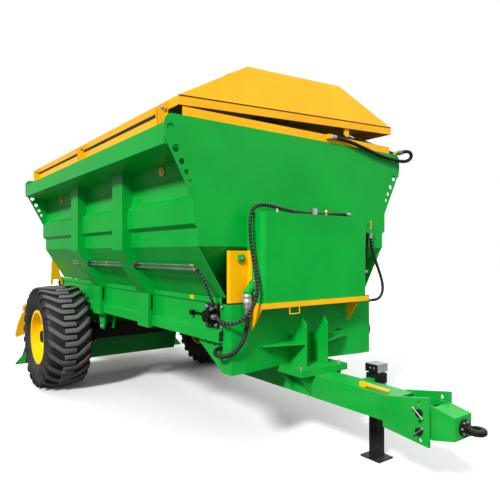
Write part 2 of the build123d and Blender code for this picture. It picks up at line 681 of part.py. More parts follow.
# Drawbar: box, flange plate, gussets, head plates and the post up to the chassis
DRAWBAR_BOTTOM_Z = DRAWBAR_TOP_Z - DRAWBAR_HEIGHT
HEAD_REAR = 3985
HEAD_FRONT = 4320
HEAD_HOLE_COUNT = 5
HOLE_RADIUS = HITCH_PIN_RADIUS + FIT_GAP
hole_heights = [HEAD_HOLE_TOP_Z - HEAD_HOLE_PITCH * i for i in range(HEAD_HOLE_COUNT)]
WING_GUSSETS = [3090, 3290]
WING_GUSSET_PLATE = 14
DRAWBAR_POST = 140
with BuildPart() as drawbar:
    with BuildSketch(section(at(DRAWBAR_REAR))):
        with Locations((0, DRAWBAR_TOP_Z - DRAWBAR_HEIGHT / 2)):
            Rectangle(2 * DRAWBAR_HALF, DRAWBAR_HEIGHT)
            Rectangle(
                2 * (DRAWBAR_HALF - DRAWBAR_WALL),
                DRAWBAR_HEIGHT - 2 * DRAWBAR_WALL,
                mode=Mode.SUBTRACT,
            )
    extrude(amount=DRAWBAR_FRONT - DRAWBAR_REAR)
    with Locations((at((FLANGE_REAR + FLANGE_FRONT) / 2), 0, DRAWBAR_TOP_Z + FLANGE_PLATE / 2)):
        Box(FLANGE_FRONT - FLANGE_REAR, 2 * FLANGE_HALF, FLANGE_PLATE)
    for place in WING_GUSSETS:
        for sign in (-1, 1):
            with BuildSketch(section(at(place))):
                Polygon(
                    (sign * DRAWBAR_HALF, DRAWBAR_TOP_Z),
                    (sign * (FLANGE_HALF - 10), DRAWBAR_TOP_Z),
                    (sign * DRAWBAR_HALF, DRAWBAR_BOTTOM_Z + 15),
                    align=None,
                )
            extrude(amount=WING_GUSSET_PLATE)
    for sign in (-1, 1):
        with BuildSketch(side_plane(sign * DRAWBAR_HALF)):
            Polygon(
                (at(HEAD_REAR), DRAWBAR_TOP_Z),
                (at(HEAD_REAR), DRAWBAR_BOTTOM_Z - 32),
                (at(HEAD_FRONT), DRAWBAR_BOTTOM_Z - 66),
                (at(HEAD_FRONT), DRAWBAR_TOP_Z + 60),
                align=None,
            )
            with Locations([(at(HEAD_HOLE_FROM_AXLE), z) for z in hole_heights]):
                Circle(HOLE_RADIUS, mode=Mode.SUBTRACT)
        extrude(amount=-sign * HEAD_PLATE)
    with Locations((at(CROSS_PLACES[4]), 0, DRAWBAR_TOP_Z)):
        Box(
            DRAWBAR_POST,
            2 * DRAWBAR_HALF,
            CROSS_Z - DRAWBAR_TOP_Z,
            align=(Align.CENTER, Align.CENTER, Align.MIN),
        )
save(drawbar.part, "drawbar")

# Hitch block, pins and towing eye
BLOCK_HALF = 88
BLOCK_CHEEK = 14
BLOCK_REAR = 4190
BLOCK_MIDDLE = 4330
BLOCK_FRONT = 4468
BLOCK_NOSE = 16
BLOCK_WEB = 12
PIN_HOLES = [hole_heights[1], hole_heights[3]]
EYE_Z = sum(PIN_HOLES) / 2
BLOCK_RISE = 100
BLOCK_NOSE_RISE = 68
with BuildPart() as hitch_block:
    for sign in (-1, 1):
        with BuildSketch(side_plane(sign * BLOCK_HALF)):
            Polygon(
                (at(BLOCK_REAR), EYE_Z - BLOCK_RISE),
                (at(BLOCK_MIDDLE), EYE_Z - BLOCK_RISE),
                (at(BLOCK_FRONT), EYE_Z - BLOCK_NOSE_RISE),
                (at(BLOCK_FRONT), EYE_Z + BLOCK_NOSE_RISE),
                (at(BLOCK_MIDDLE), EYE_Z + BLOCK_RISE),
                (at(BLOCK_REAR), EYE_Z + BLOCK_RISE),
                align=None,
            )
            with Locations([(at(HEAD_HOLE_FROM_AXLE), z) for z in PIN_HOLES]):
                Circle(HOLE_RADIUS, mode=Mode.SUBTRACT)
        extrude(amount=sign * BLOCK_CHEEK)
    with Locations((at(BLOCK_FRONT) - BLOCK_NOSE / 2, 0, EYE_Z)):
        Box(BLOCK_NOSE, 2 * BLOCK_HALF, 2 * BLOCK_NOSE_RISE)
    with BuildSketch(side_plane(BLOCK_HALF)):
        for sign in (-1, 1):
            Polygon(
                (at(BLOCK_MIDDLE), EYE_Z + sign * BLOCK_RISE),
                (at(BLOCK_FRONT), EYE_Z + sign * BLOCK_NOSE_RISE),
                (at(BLOCK_FRONT), EYE_Z + sign * (BLOCK_NOSE_RISE - BLOCK_WEB)),
                (at(BLOCK_MIDDLE), EYE_Z + sign * (BLOCK_RISE - BLOCK_WEB)),
                align=None,
            )
    extrude(amount=2 * BLOCK_HALF)
save(hitch_block.part, "hitch_block")

PIN_END = DRAWBAR_HALF + HEAD_PLATE + 30
PIN_HEAD_RADIUS = 23
PIN_HEAD = 16
with BuildPart() as hitch_pins:
    for z in PIN_HOLES:
        with BuildSketch(side_plane(PIN_END)):
            with Locations((at(HEAD_HOLE_FROM_AXLE), z)):
                Circle(HITCH_PIN_RADIUS)
        extrude(amount=PIN_END + DRAWBAR_HALF + HEAD_PLATE + 1)
        with BuildSketch(side_plane(-DRAWBAR_HALF - HEAD_PLATE)):
            with Locations((at(HEAD_HOLE_FROM_AXLE), z)):
                Circle(PIN_HEAD_RADIUS)
        extrude(amount=PIN_HEAD)
save(hitch_pins.part, "hitch_pins")

SHANK_FLANGE_RADIUS = 50
SHANK_FLANGE = 14
SHANK_RADIUS = 20
EYE_CHAMFER = 7
with BuildPart() as towing_eye:
    with BuildSketch(section(at(BLOCK_FRONT))):
        with Locations((0, EYE_Z)):
            Circle(SHANK_FLANGE_RADIUS)
    extrude(amount=SHANK_FLANGE)
    with BuildSketch(section(at(BLOCK_FRONT))):
        with Locations((0, EYE_Z)):
            Circle(SHANK_RADIUS)
    extrude(amount=EYE_FROM_AXLE - EYE_DIAMETER / 4 - BLOCK_FRONT)
    ring_profile = [
        (EYE_BORE / 2, -EYE_THICKNESS / 2),
        (EYE_DIAMETER / 2 - EYE_CHAMFER, -EYE_THICKNESS / 2),
        (EYE_DIAMETER / 2, -EYE_THICKNESS / 2 + EYE_CHAMFER),
        (EYE_DIAMETER / 2, EYE_THICKNESS / 2 - EYE_CHAMFER),
        (EYE_DIAMETER / 2 - EYE_CHAMFER, EYE_THICKNESS / 2),
        (EYE_BORE / 2, EYE_THICKNESS / 2),
    ]
    with BuildSketch(Plane(origin=(at(EYE_FROM_AXLE), 0, EYE_Z), x_dir=(1, 0, 0), z_dir=(0, -1, 0))):
        Polygon(*ring_profile, align=None)
    revolve(axis=Axis((at(EYE_FROM_AXLE), 0, EYE_Z), (0, 0, 1)))
    with BuildSketch(Plane.XY.offset(EYE_Z - EYE_THICKNESS)):
        with Locations((at(EYE_FROM_AXLE), 0)):
            Circle(EYE_BORE / 2)
    extrude(amount=2 * EYE_THICKNESS, mode=Mode.SUBTRACT)
save(towing_eye.part, "towing_eye")

# Parking jack
SLEEVE_BOTTOM_Z = DRAWBAR_BOTTOM_Z + 10
SLEEVE_TOP_Z = DRAWBAR_TOP_Z + 10
JACK_ARM = 60
JACK_ARM_HEIGHT = 110
with BuildPart() as jack_sleeve:
    with BuildSketch(Plane.XY.offset(SLEEVE_BOTTOM_Z)):
        with Locations((at(JACK_FROM_AXLE), JACK_Y)):
            Rectangle(JACK_SLEEVE, JACK_SLEEVE)
            Rectangle(JACK_TUBE + 2 * RUNNING_GAP, JACK_TUBE + 2 * RUNNING_GAP, mode=Mode.SUBTRACT)
    extrude(amount=SLEEVE_TOP_Z - SLEEVE_BOTTOM_Z)
    with Locations((at(JACK_FROM_AXLE), DRAWBAR_HALF, (SLEEVE_BOTTOM_Z + SLEEVE_TOP_Z) / 2)):
        Box(
            JACK_ARM,
            JACK_Y - JACK_SLEEVE / 2 - DRAWBAR_HALF,
            JACK_ARM_HEIGHT,
            align=(Align.CENTER, Align.MIN, Align.CENTER),
        )
save(jack_sleeve.part, "jack_sleeve")

FOOT_PLATE = 12
FOOT_LENGTH = 180
FOOT_WIDTH = 160
JACK_TOP_Z = 700
JACK_WALL = 6
with BuildPart() as jack_leg:
    with Locations((at(JACK_FROM_AXLE), JACK_Y, 0)):
        Box(FOOT_LENGTH, FOOT_WIDTH, FOOT_PLATE, align=(Align.CENTER, Align.CENTER, Align.MIN))
    with BuildSketch(Plane.XY.offset(FOOT_PLATE)):
        with Locations((at(JACK_FROM_AXLE), JACK_Y)):
            Rectangle(JACK_TUBE, JACK_TUBE)
            Rectangle(JACK_TUBE - 2 * JACK_WALL, JACK_TUBE - 2 * JACK_WALL, mode=Mode.SUBTRACT)
    extrude(amount=JACK_TOP_Z - FOOT_PLATE)
save(jack_leg.part, "jack_leg")

JACK_HEAD = 116
JACK_HEAD_HEIGHT = 60
JACK_HEAD_GAP = 15
with BuildPart() as jack_head:
    with BuildSketch(Plane.XY.offset(SLEEVE_TOP_Z + JACK_HEAD_GAP)):
        with Locations((at(JACK_FROM_AXLE), JACK_Y)):
            Rectangle(JACK_HEAD, JACK_HEAD)
    extrude(amount=JACK_HEAD_HEIGHT)
    with BuildSketch(Plane.XY.offset(SLEEVE_TOP_Z + JACK_HEAD_GAP)):
        with Locations((at(JACK_FROM_AXLE), JACK_Y)):
            Rectangle(JACK_TUBE, JACK_TUBE)
    extrude(amount=JACK_TOP_Z - SLEEVE_TOP_Z - JACK_HEAD_GAP, mode=Mode.SUBTRACT)
save(jack_head.part, "jack_head")

LEVER_REAR = 3736
LEVER_FRONT = 3975
LEVER_Y = -50
LEVER_WIDTH = 28
LEVER_LIFT = 10
with BuildPart() as jack_lever:
    with BuildSketch(side_plane(LEVER_Y - LEVER_WIDTH / 2)):
        Polygon(
            (at(LEVER_REAR), DRAWBAR_TOP_Z),
            (at(LEVER_REAR + 50), DRAWBAR_TOP_Z),
            (at(LEVER_REAR + 60), DRAWBAR_TOP_Z + LEVER_LIFT),
            (at(LEVER_FRONT), DRAWBAR_TOP_Z + LEVER_LIFT),
            (at(LEVER_FRONT), DRAWBAR_TOP_Z + 2 * LEVER_LIFT),
            (at(LEVER_REAR), DRAWBAR_TOP_Z + 3 * LEVER_LIFT),
            align=None,
        )
    extrude(amount=-LEVER_WIDTH)
save(jack_lever.part, "jack_lever")

# Hopper sides with their top rails
side_path = [
    (RAIL_ROOT_HALF, RAIL_ROOT_Z),
    (RECESS_HALF, (RAIL_ROOT_Z + BEAD_TOP_Z) / 2 + LEDGE_RISE),
    (BAND_HALF, BEAD_TOP_Z + LEDGE_RISE),
    (BEAD_HALF, BEAD_TOP_Z),
    (BEAD_HALF, BEAD_BOTTOM_Z),
    (BAND_HALF, BEAD_BOTTOM_Z - LEDGE_RISE / 1.5),
    (BAND_HALF, BAND_BOTTOM_Z),
    (FOOT_HALF, FOOT_Z),
]
side_outline = [
    (WING_HALF - RAIL_SHELF, RAIL_TOP_Z),
    (WING_HALF, RAIL_TOP_Z),
    (WING_HALF, RAIL_EDGE_Z),
]
side_outline += sheet(side_path, SIDE_SHEET)
with BuildPart() as hopper_sides:
    with BuildSketch(section(REAR_WALL_X + WALL_PLATE)):
        Polygon(*side_outline, align=None)
    extrude(amount=HOPPER_LENGTH - 2 * WALL_PLATE)
    mirror(about=Plane.XZ)
save(hopper_sides.part, "hopper_sides")

# Winged end walls with their row of round holes, the front one with a hose port
WING_HOLES = [
    {"y": 1196, "z": 2388, "radius": 29},
    {"y": 1156, "z": 2256, "radius": 26},
    {"y": 1110, "z": 2172, "radius": 22},
    {"y": 1074, "z": 2104, "radius": 18},
    {"y": 1045, "z": 2044, "radius": 15},
]
wing_edge = [
    (WING_HALF, WALL_TOP_Z),
    (WING_HALF, WING_KINK_Z),
    (BEAD_HALF, BEAD_TOP_Z),
    (BEAD_HALF, BEAD_BOTTOM_Z),
    (BAND_HALF, BEAD_BOTTOM_Z - LEDGE_RISE / 1.5),
    (BAND_HALF, BAND_BOTTOM_Z),
]
WALL_PORT_FROM_AXLE = 3130
WALL_PORT_Y = 790
WALL_PORT_Z = 1730
WALL_PORT = (45, 30, 35)
with BuildPart() as hopper_front_wall:
    with BuildSketch(section(FRONT_WALL_X - WALL_PLATE)) as front_outline:
        Polygon(*wing_edge, *[(-a, b) for a, b in wing_edge[::-1]], align=None)
        fillet(front_outline.vertices().group_by(Axis.Y)[-1], WING_CORNER)
        for hole in WING_HOLES:
            with Locations((hole["y"], hole["z"]), (-hole["y"], hole["z"])):
                Circle(hole["radius"], mode=Mode.SUBTRACT)
    extrude(amount=WALL_PLATE)
    with Locations((FRONT_WALL_X, WALL_PORT_Y, WALL_PORT_Z)):
        Box(*WALL_PORT, align=(Align.MIN, Align.CENTER, Align.MIN))
save(hopper_front_wall.part, "hopper_front_wall")

# Lower front slope, set back under the front wall
SLOPE_FOOT = 2800
SLOPE_GAP = 2
SLOPE_TOP_HALF = BAND_HALF - SIDE_SHEET - SLOPE_GAP
SLOPE_FOOT_HALF = FOOT_HALF - SIDE_SHEET - SLOPE_GAP
with BuildPart() as hopper_front_slope:
    with BuildSketch(section(at(SLOPE_FOOT) - 20)):
        Polygon(
            (SLOPE_TOP_HALF, BAND_BOTTOM_Z),
            (-SLOPE_TOP_HALF, BAND_BOTTOM_Z),
            (-SLOPE_FOOT_HALF, FOOT_Z),
            (SLOPE_FOOT_HALF, FOOT_Z),
            align=None,
        )
    extrude(amount=FRONT_WALL_X - at(SLOPE_FOOT) + 20)
    with BuildSketch(side_plane(SLOPE_TOP_HALF)):
        Polygon(
            (FRONT_WALL_X, BAND_BOTTOM_Z),
            (at(SLOPE_FOOT) + SIDE_SHEET, FOOT_Z),
            (at(SLOPE_FOOT), FOOT_Z),
            (FRONT_WALL_X - WALL_PLATE, BAND_BOTTOM_Z),
            align=None,
        )
    extrude(amount=2 * SLOPE_TOP_HALF, mode=Mode.INTERSECT)
save(hopper_front_slope.part, "hopper_front_slope")

GATE_HALF = 640
GATE_PLATE = 8
GATE_BOTTOM_Z = BELT_TOP_Z + 12
GATE_HEIGHT = 415
GATE_TRAVEL = 330
OUTLET_HALF = 600
OUTLET_HEIGHT = 330
GUIDE_BAR = 20
GUIDE_LIP = 30
GATE_FRONT_X = REAR_WALL_X - MOVING_GAP
GUIDE_DEPTH = GATE_PLATE + 2 * MOVING_GAP
GUIDE_TOP_Z = GATE_BOTTOM_Z + GATE_HEIGHT + GATE_TRAVEL
GATE_STIFFENER = 40
GATE_STOP = 26
GATE_STOP_REACH = 80
GATE_REST_Z = GATE_BOTTOM_Z + GATE_HEIGHT - GATE_PLATE
rear_edge = wing_edge + [(FOOT_HALF, FOOT_Z)]
with BuildPart() as hopper_rear_wall:
    with BuildSketch(section(REAR_WALL_X)) as rear_outline:
        Polygon(*rear_edge, *[(-a, b) for a, b in rear_edge[::-1]], align=None)
        fillet(rear_outline.vertices().group_by(Axis.Y)[-1], WING_CORNER)
        for hole in WING_HOLES:
            with Locations((hole["y"], hole["z"]), (-hole["y"], hole["z"])):
                Circle(hole["radius"], mode=Mode.SUBTRACT)
        with Locations((0, FOOT_Z)):
            Rectangle(
                2 * OUTLET_HALF,
                OUTLET_HEIGHT,
                align=(Align.CENTER, Align.MIN),
                mode=Mode.SUBTRACT,
            )
    extrude(amount=WALL_PLATE)
    with BuildSketch(Plane.XY.offset(FOOT_Z)):
        for sign in (-1, 1):
            Polygon(
                (REAR_WALL_X, sign * (GATE_HALF + MOVING_GAP)),
                (REAR_WALL_X, sign * (GATE_HALF + MOVING_GAP + GUIDE_BAR)),
                (REAR_WALL_X - GUIDE_DEPTH - GATE_PLATE, sign * (GATE_HALF + MOVING_GAP + GUIDE_BAR)),
                (REAR_WALL_X - GUIDE_DEPTH - GATE_PLATE, sign * (GATE_HALF - GUIDE_LIP)),
                (REAR_WALL_X - GUIDE_DEPTH, sign * (GATE_HALF - GUIDE_LIP)),
                (REAR_WALL_X - GUIDE_DEPTH, sign * (GATE_HALF + MOVING_GAP)),
                align=None,
            )
    extrude(amount=GUIDE_TOP_Z - FOOT_Z)
    for sign in (-1, 1):
        with Locations((REAR_WALL_X - GUIDE_DEPTH, sign * GATE_HALF, GATE_REST_Z)):
            Box(
                GATE_STOP,
                2 * GATE_STOP_REACH,
                GATE_STOP,
                align=(Align.MAX, Align.CENTER, Align.MAX),
            )
save(hopper_rear_wall.part, "hopper_rear_wall")

with BuildPart() as metering_gate:
    with Locations((GATE_FRONT_X - GATE_PLATE / 2, 0, GATE_BOTTOM_Z)):
        Box(GATE_PLATE, 2 * GATE_HALF, GATE_HEIGHT, align=(Align.CENTER, Align.CENTER, Align.MIN))
    with Locations((GATE_FRONT_X - GATE_PLATE, 0, GATE_REST_Z)):
        Box(
            GATE_STIFFENER,
            2 * (GATE_HALF - GUIDE_LIP - MOVING_GAP - GUIDE_BAR),
            GATE_PLATE,
            align=(Align.MAX, Align.CENTER, Align.MIN),
        )
save(metering_gate.part, "metering_gate")

# Box ribs that run down the sides into posts outside the sills
RIB_PLACES = [660, 1858]
RIB_WIDTH = 225
RIB_HALF = 1070
POST_HALF = 825
POST_BOTTOM_Z = 889
SLOT_LENGTH = 148
SLOT_WIDTH = 25
SLOT_Z = 1109
PIPE_RADIUS = 8
PIPE_SPACING = 28
PIPE_Y = 935
PIPE_Z = 1447
slope_run = (BAND_HALF - FOOT_HALF) / (BAND_BOTTOM_Z - FOOT_Z)
rail_slope = (RAIL_EDGE_Z - RAIL_ROOT_Z) / (WING_HALF - RAIL_ROOT_HALF)
RIB_KNEE_Z = BAND_BOTTOM_Z - 22
LIP_HALF = WEB_HALF + LIP_STEP
rib_outline = [
    (RAIL_ROOT_HALF, RAIL_ROOT_Z),
    (RIB_HALF, RAIL_ROOT_Z + rail_slope * (RIB_HALF - RAIL_ROOT_HALF)),
    (RIB_HALF, RIB_KNEE_Z),
    (POST_HALF, RIB_KNEE_Z - (RIB_HALF - POST_HALF) / slope_run),
    (POST_HALF, POST_BOTTOM_Z),
    (SILL_HALF, POST_BOTTOM_Z),
    (SILL_HALF, SILL_TOP_Z),
    (WEB_HALF, SILL_TOP_Z + LIP_STEP),
    (WEB_HALF, LIP_BOTTOM_Z - LIP_STEP),
    (LIP_HALF, LIP_BOTTOM_Z),
    (LIP_HALF, FOOT_Z + (LIP_HALF - FOOT_HALF) / slope_run),
    (BAND_HALF, BAND_BOTTOM_Z),
    (BAND_HALF, BEAD_BOTTOM_Z - LEDGE_RISE / 1.5),
    (BEAD_HALF, BEAD_BOTTOM_Z),
    (BEAD_HALF, BEAD_TOP_Z),
    (BAND_HALF, BEAD_TOP_Z + LEDGE_RISE),
    (RECESS_HALF, (RAIL_ROOT_Z + BEAD_TOP_Z) / 2 + LEDGE_RISE),
]
with BuildPart() as side_ribs:
    for place in RIB_PLACES:
        with BuildSketch(section(at(place) - RIB_WIDTH / 2)):
            Polygon(*rib_outline, align=None)
            with Locations(((WEB_HALF + POST_HALF) / 2, SLOT_Z)):
                SlotOverall(SLOT_LENGTH, SLOT_WIDTH, rotation=90, mode=Mode.SUBTRACT)
        extrude(amount=RIB_WIDTH)
    mirror(about=Plane.XZ)
    with BuildSketch(section(at(RIB_PLACES[0]) - RIB_WIDTH)):
        with Locations((-PIPE_Y, PIPE_Z)):
            with GridLocations(0, PIPE_SPACING, 1, 2):
                Circle(PIPE_RADIUS + FIT_GAP)
    extrude(amount=RIB_PLACES[1] - RIB_PLACES[0] + 2 * RIB_WIDTH, mode=Mode.SUBTRACT)
save(side_ribs.part, "side_ribs")

PIPE_FRONT = 2960
PIPE_REAR = 200
with BuildPart() as hydraulic_pipes:
    with BuildSketch(section(at(PIPE_REAR))):
        with Locations((-PIPE_Y, PIPE_Z)):
            with GridLocations(0, PIPE_SPACING, 1, 2):
                Circle(PIPE_RADIUS)
    extrude(amount=PIPE_FRONT - PIPE_REAR)
save(hydraulic_pipes.part, "hydraulic_pipes")

# Rim strips on the hopper, with hinge ears, the cylinder's bracket and the lid hose's fittings
RIM_STRIP = 6
RIM_FRONT_HALF = 1100
RIM_SIDE_FRONT = 2985
RIM_CORNER_GAP = 100
HINGE_PLACES = [2940, 1240, -460]
EAR_PLATE = 12
EAR_GAP = 20
EAR_RADIUS = 26
RIM_SIDE_REAR = FRONT_WALL_FROM_AXLE - HOPPER_LENGTH + RIM_CORNER_GAP
RIM_SIDE_MIDDLE = at((RIM_SIDE_FRONT + RIM_SIDE_REAR) / 2)
RAM_EAR_GAP = 23
RAM_EAR = 8
RAM_PIN = 10
RAM_EAR_RADIUS = 24
LID_PORT_FROM_AXLE = 3100
LID_PORT_RISE = 4
LID_PORT_RADIUS = 17
LID_CLIP_Y = 300
LID_CLIP = (36, 38, 36)
RIM_FRONT_X = FRONT_WALL_X - WALL_PLATE
with BuildPart() as rim_frame:
    for sign in (-1, 1):
        with Locations((RIM_SIDE_MIDDLE, sign * (RIM_SIDE - RIM_STRIP / 2), RAIL_TOP_Z)):
            Box(
                RIM_SIDE_FRONT - RIM_SIDE_REAR,
                RIM_STRIP,
                RIM_TOP_Z - RAIL_TOP_Z,
                align=(Align.CENTER, Align.CENTER, Align.MIN),
            )
    for inner in (FRONT_WALL_X - WALL_PLATE - RIM_STRIP / 2, REAR_WALL_X + WALL_PLATE + RIM_STRIP / 2):
        with Locations((inner, 0, RAIL_TOP_Z)):
            Box(
                RIM_STRIP,
                2 * RIM_FRONT_HALF,
                RIM_TOP_Z - RAIL_TOP_Z,
                align=(Align.CENTER, Align.CENTER, Align.MIN),
            )
    for place in HINGE_PLACES:
        for way in (-1, 1):
            with BuildSketch(section(at(place) + way * EAR_GAP - EAR_PLATE / 2)):
                with Locations((HINGE_Y, HINGE_Z)):
                    Circle(EAR_RADIUS)
                Polygon(
                    (-RIM_SIDE, RAIL_TOP_Z),
                    (-RIM_SIDE, HINGE_Z - 5),
                    (HINGE_Y, HINGE_Z),
                    (HINGE_Y - EAR_RADIUS, HINGE_Z),
                    (HINGE_Y - 20, RAIL_TOP_Z),
                    align=None,
                )
                with Locations((-RIM_SIDE, HINGE_Z)):
                    Rectangle(
                        2 * EAR_RADIUS,
                        4 * EAR_RADIUS,
                        align=(Align.MIN, Align.CENTER),
                        mode=Mode.SUBTRACT,
                    )
            extrude(amount=EAR_PLATE)
        with BuildSketch(section(at(place) - EAR_GAP)):
            with Locations((HINGE_Y, HINGE_Z)):
                Circle(HINGE_PIN)
        extrude(amount=2 * EAR_GAP)
    for way in (-1, 1):
        with BuildSketch(section(at(RAM_X) + way * (RAM_EAR_GAP + RAM_EAR / 2) - RAM_EAR / 2)):
            with Locations((RAM_BASE_Y, RAM_BASE_Z)):
                Circle(RAM_EAR_RADIUS)
            with Locations((RAM_BASE_Y, RAIL_TOP_Z)):
                Rectangle(2 * RAM_EAR_RADIUS, RAM_BASE_RISE, align=(Align.CENTER, Align.MIN))
        extrude(amount=RAM_EAR)
    with BuildSketch(section(at(RAM_X) - RAM_EAR_GAP - 1)):
        with Locations((RAM_BASE_Y, RAM_BASE_Z)):
            Circle(RAM_PIN)
    extrude(amount=2 * RAM_EAR_GAP + 2)
    with BuildSketch(section(at(RAM_X) + RAM_EAR_GAP + RAM_EAR)):
        with Locations((RAM_BASE_Y, RAM_BASE_Z + LID_PORT_RISE)):
            Circle(LID_PORT_RADIUS)
    extrude(amount=LID_PORT_FROM_AXLE - RAM_X - RAM_EAR_GAP - RAM_EAR)
    with Locations((RIM_FRONT_X, LID_CLIP_Y, RIM_TOP_Z)):
        Box(*LID_CLIP, align=(Align.MIN, Align.MAX, Align.MAX))
save(rim_frame.part, "rim_frame")

# Lid, drawn in its own frame at the hinge and turned up a little; its front carries the cylinder's lug
LID_LOCATION = Location((0, HINGE_Y, HINGE_Z), (LID_OPEN_DEG, 0, 0))
LID_FRONT_X = FRONT_WALL_X - WALL_PLATE - 2
LID_REAR_X = REAR_WALL_X + WALL_PLATE + 2
LID_FRAME_Z = RIM_TOP_Z + MOVING_GAP - HINGE_Z
LID_EAVES_Z = LID_FRAME_Z + LID_FRAME_HEIGHT
LID_STRIP = 6
LUG_STEP = 6
RAM_LUG_PLATE = 14
RAM_LUG_RADIUS = 28
RAM_LUG_TOP = 75
RAM_LUG_FOOT = 48
ROD_EYE_HALF = 15
RAM_LUG_X = at(RAM_X) + ROD_EYE_HALF + 3
lid_mid = -HINGE_Y


def lid_section(x):
    """Plane across the lid at X in the lid's own frame."""
    return Plane(LID_LOCATION * section(x).location)


with BuildPart() as lid_frame:
    for y in (lid_mid - LID_HALF, lid_mid + LID_HALF - LID_STRIP):
        with BuildSketch(lid_section(LID_REAR_X)):
            with Locations((y, LID_FRAME_Z)):
                Rectangle(LID_STRIP, LID_FRAME_HEIGHT, align=(Align.MIN, Align.MIN))
        extrude(amount=LID_FRONT_X - LID_REAR_X)
    for x in (LID_REAR_X, LID_FRONT_X - LID_STRIP):
        with BuildSketch(lid_section(x)):
            with Locations((lid_mid, LID_FRAME_Z)):
                Rectangle(2 * LID_HALF, LID_FRAME_HEIGHT, align=(Align.CENTER, Align.MIN))
        extrude(amount=LID_STRIP)
    for place in HINGE_PLACES:
        with BuildSketch(lid_section(at(place) - EAR_PLATE / 2)):
            Circle(EAR_RADIUS - 4)
            Polygon(
                (0, -HINGE_PIN - 8),
                (EAR_RADIUS - 8, LID_FRAME_Z + LUG_STEP),
                (lid_mid - LID_HALF, LID_FRAME_Z + LUG_STEP),
                (lid_mid - LID_HALF, LID_EAVES_Z - LUG_STEP),
                (0, HINGE_PIN + 12),
                align=None,
            )
            Circle(HINGE_PIN + RUNNING_GAP, mode=Mode.SUBTRACT)
        extrude(amount=EAR_PLATE)
    with BuildSketch(section(RAM_LUG_X)):
        with Locations((RAM_LUG_Y, RAM_LUG_Z)):
            Circle(RAM_LUG_RADIUS)
            Rectangle(2 * RAM_LUG_RADIUS, RAM_LUG_TOP, align=(Align.CENTER, Align.MIN))
    extrude(amount=RAM_LUG_PLATE)
    with BuildSketch(section(RAM_LUG_X)):
        with Locations((RAM_LUG_Y, RAM_LUG_Z + RAM_LUG_FOOT)):
            Rectangle(2 * RAM_LUG_RADIUS, RAM_LUG_TOP - RAM_LUG_FOOT, align=(Align.CENTER, Align.MIN))
    extrude(amount=LID_FRONT_X - LID_STRIP - RAM_LUG_X)
save(lid_frame.part, "lid_frame")

roof_path = [
    (lid_mid - LID_HALF, LID_EAVES_Z),
    (lid_mid - LID_RIDGE_HALF, LID_EAVES_Z + LID_RISE),
    (lid_mid + LID_RIDGE_HALF, LID_EAVES_Z + LID_RISE),
    (lid_mid + LID_HALF, LID_EAVES_Z),
]
def lid_gables(inset):
    """Side outline of the roof with its gables leaning in, drawn in the lid's own frame."""
    return [
        (LID_REAR_X + inset, LID_EAVES_Z - LID_FRAME_HEIGHT),
        (LID_REAR_X + inset, LID_EAVES_Z),
        (LID_REAR_X + inset + GABLE_LEAN, LID_EAVES_Z + LID_RISE),
        (LID_FRONT_X - inset - GABLE_LEAN, LID_EAVES_Z + LID_RISE),
        (LID_FRONT_X - inset, LID_EAVES_Z),
        (LID_FRONT_X - inset, LID_EAVES_Z - LID_FRAME_HEIGHT),
    ]


def roof_solid(outline, inset):
    """Length of roof with a section, cut to its gables."""
    with BuildPart() as solid:
        with BuildSketch(lid_section(LID_REAR_X)):
            Polygon(*outline, align=None)
        extrude(amount=LID_FRONT_X - LID_REAR_X)
        with BuildSketch(Plane(LID_LOCATION * side_plane(lid_mid + LID_HALF).location)):
            Polygon(*lid_gables(inset), align=None)
        extrude(amount=2 * LID_HALF, mode=Mode.INTERSECT)
    return solid.part


roof_inside = offset_path(roof_path, LID_SHEET)
roof_inside += [
    (roof_inside[-1][0], LID_EAVES_Z - LID_SHEET),
    (roof_inside[0][0], LID_EAVES_Z - LID_SHEET),
]
with BuildPart() as lid_shell:
    add(roof_solid(roof_path, 0))
    add(roof_solid(roof_inside, LID_SHEET), mode=Mode.SUBTRACT)
save(lid_shell.part, "lid_shell")

HATCH_LENGTH = 1300
HATCH_WIDTH = 760
HATCH_FRONT = 2640
HATCH_RISE = 90
HATCH_RIM = 30
HATCH_WALL = 15
HATCH_MIDDLE = at(HATCH_FRONT - HATCH_LENGTH / 2)
HATCH_FOOT_Z = LID_EAVES_Z + LID_RISE
HATCH_COVER_Z = HATCH_FOOT_Z + HATCH_RISE - HATCH_RIM
HATCH_NECK = (HATCH_LENGTH - 2 * HATCH_RIM, HATCH_WIDTH - 2 * HATCH_RIM)
HATCH_INSIDE = (HATCH_NECK[0] - 2 * HATCH_WALL, HATCH_NECK[1] - 2 * HATCH_WALL)
with BuildPart() as lid_hatch:
    with BuildSketch(Plane(LID_LOCATION * Location((HATCH_MIDDLE, lid_mid, HATCH_FOOT_Z)))):
        Rectangle(*HATCH_NECK)
    extrude(amount=HATCH_RISE - HATCH_RIM)
    with BuildSketch(Plane(LID_LOCATION * Location((HATCH_MIDDLE, lid_mid, HATCH_COVER_Z)))):
        Rectangle(HATCH_LENGTH, HATCH_WIDTH)
    extrude(amount=HATCH_RIM)
    with BuildSketch(Plane(LID_LOCATION * Location((HATCH_MIDDLE, lid_mid, HATCH_FOOT_Z)))):
        Rectangle(*HATCH_INSIDE)
    extrude(amount=HATCH_RISE - LID_SHEET, mode=Mode.SUBTRACT)
save(lid_hatch.part, "lid_hatch")

# Lid cylinder, from the bracket on the left rail to the lug
ram_dy = RAM_LUG_Y - RAM_BASE_Y
ram_dz = RAM_LUG_Z - RAM_BASE_Z
RAM_LENGTH = math.hypot(ram_dy, ram_dz)
RAM_BARREL_LENGTH = 560
RAM_BORE = RAM_ROD_RADIUS + RUNNING_GAP
RAM_BOTTOM = 40
ram_along = (0, ram_dy / RAM_LENGTH, ram_dz / RAM_LENGTH)


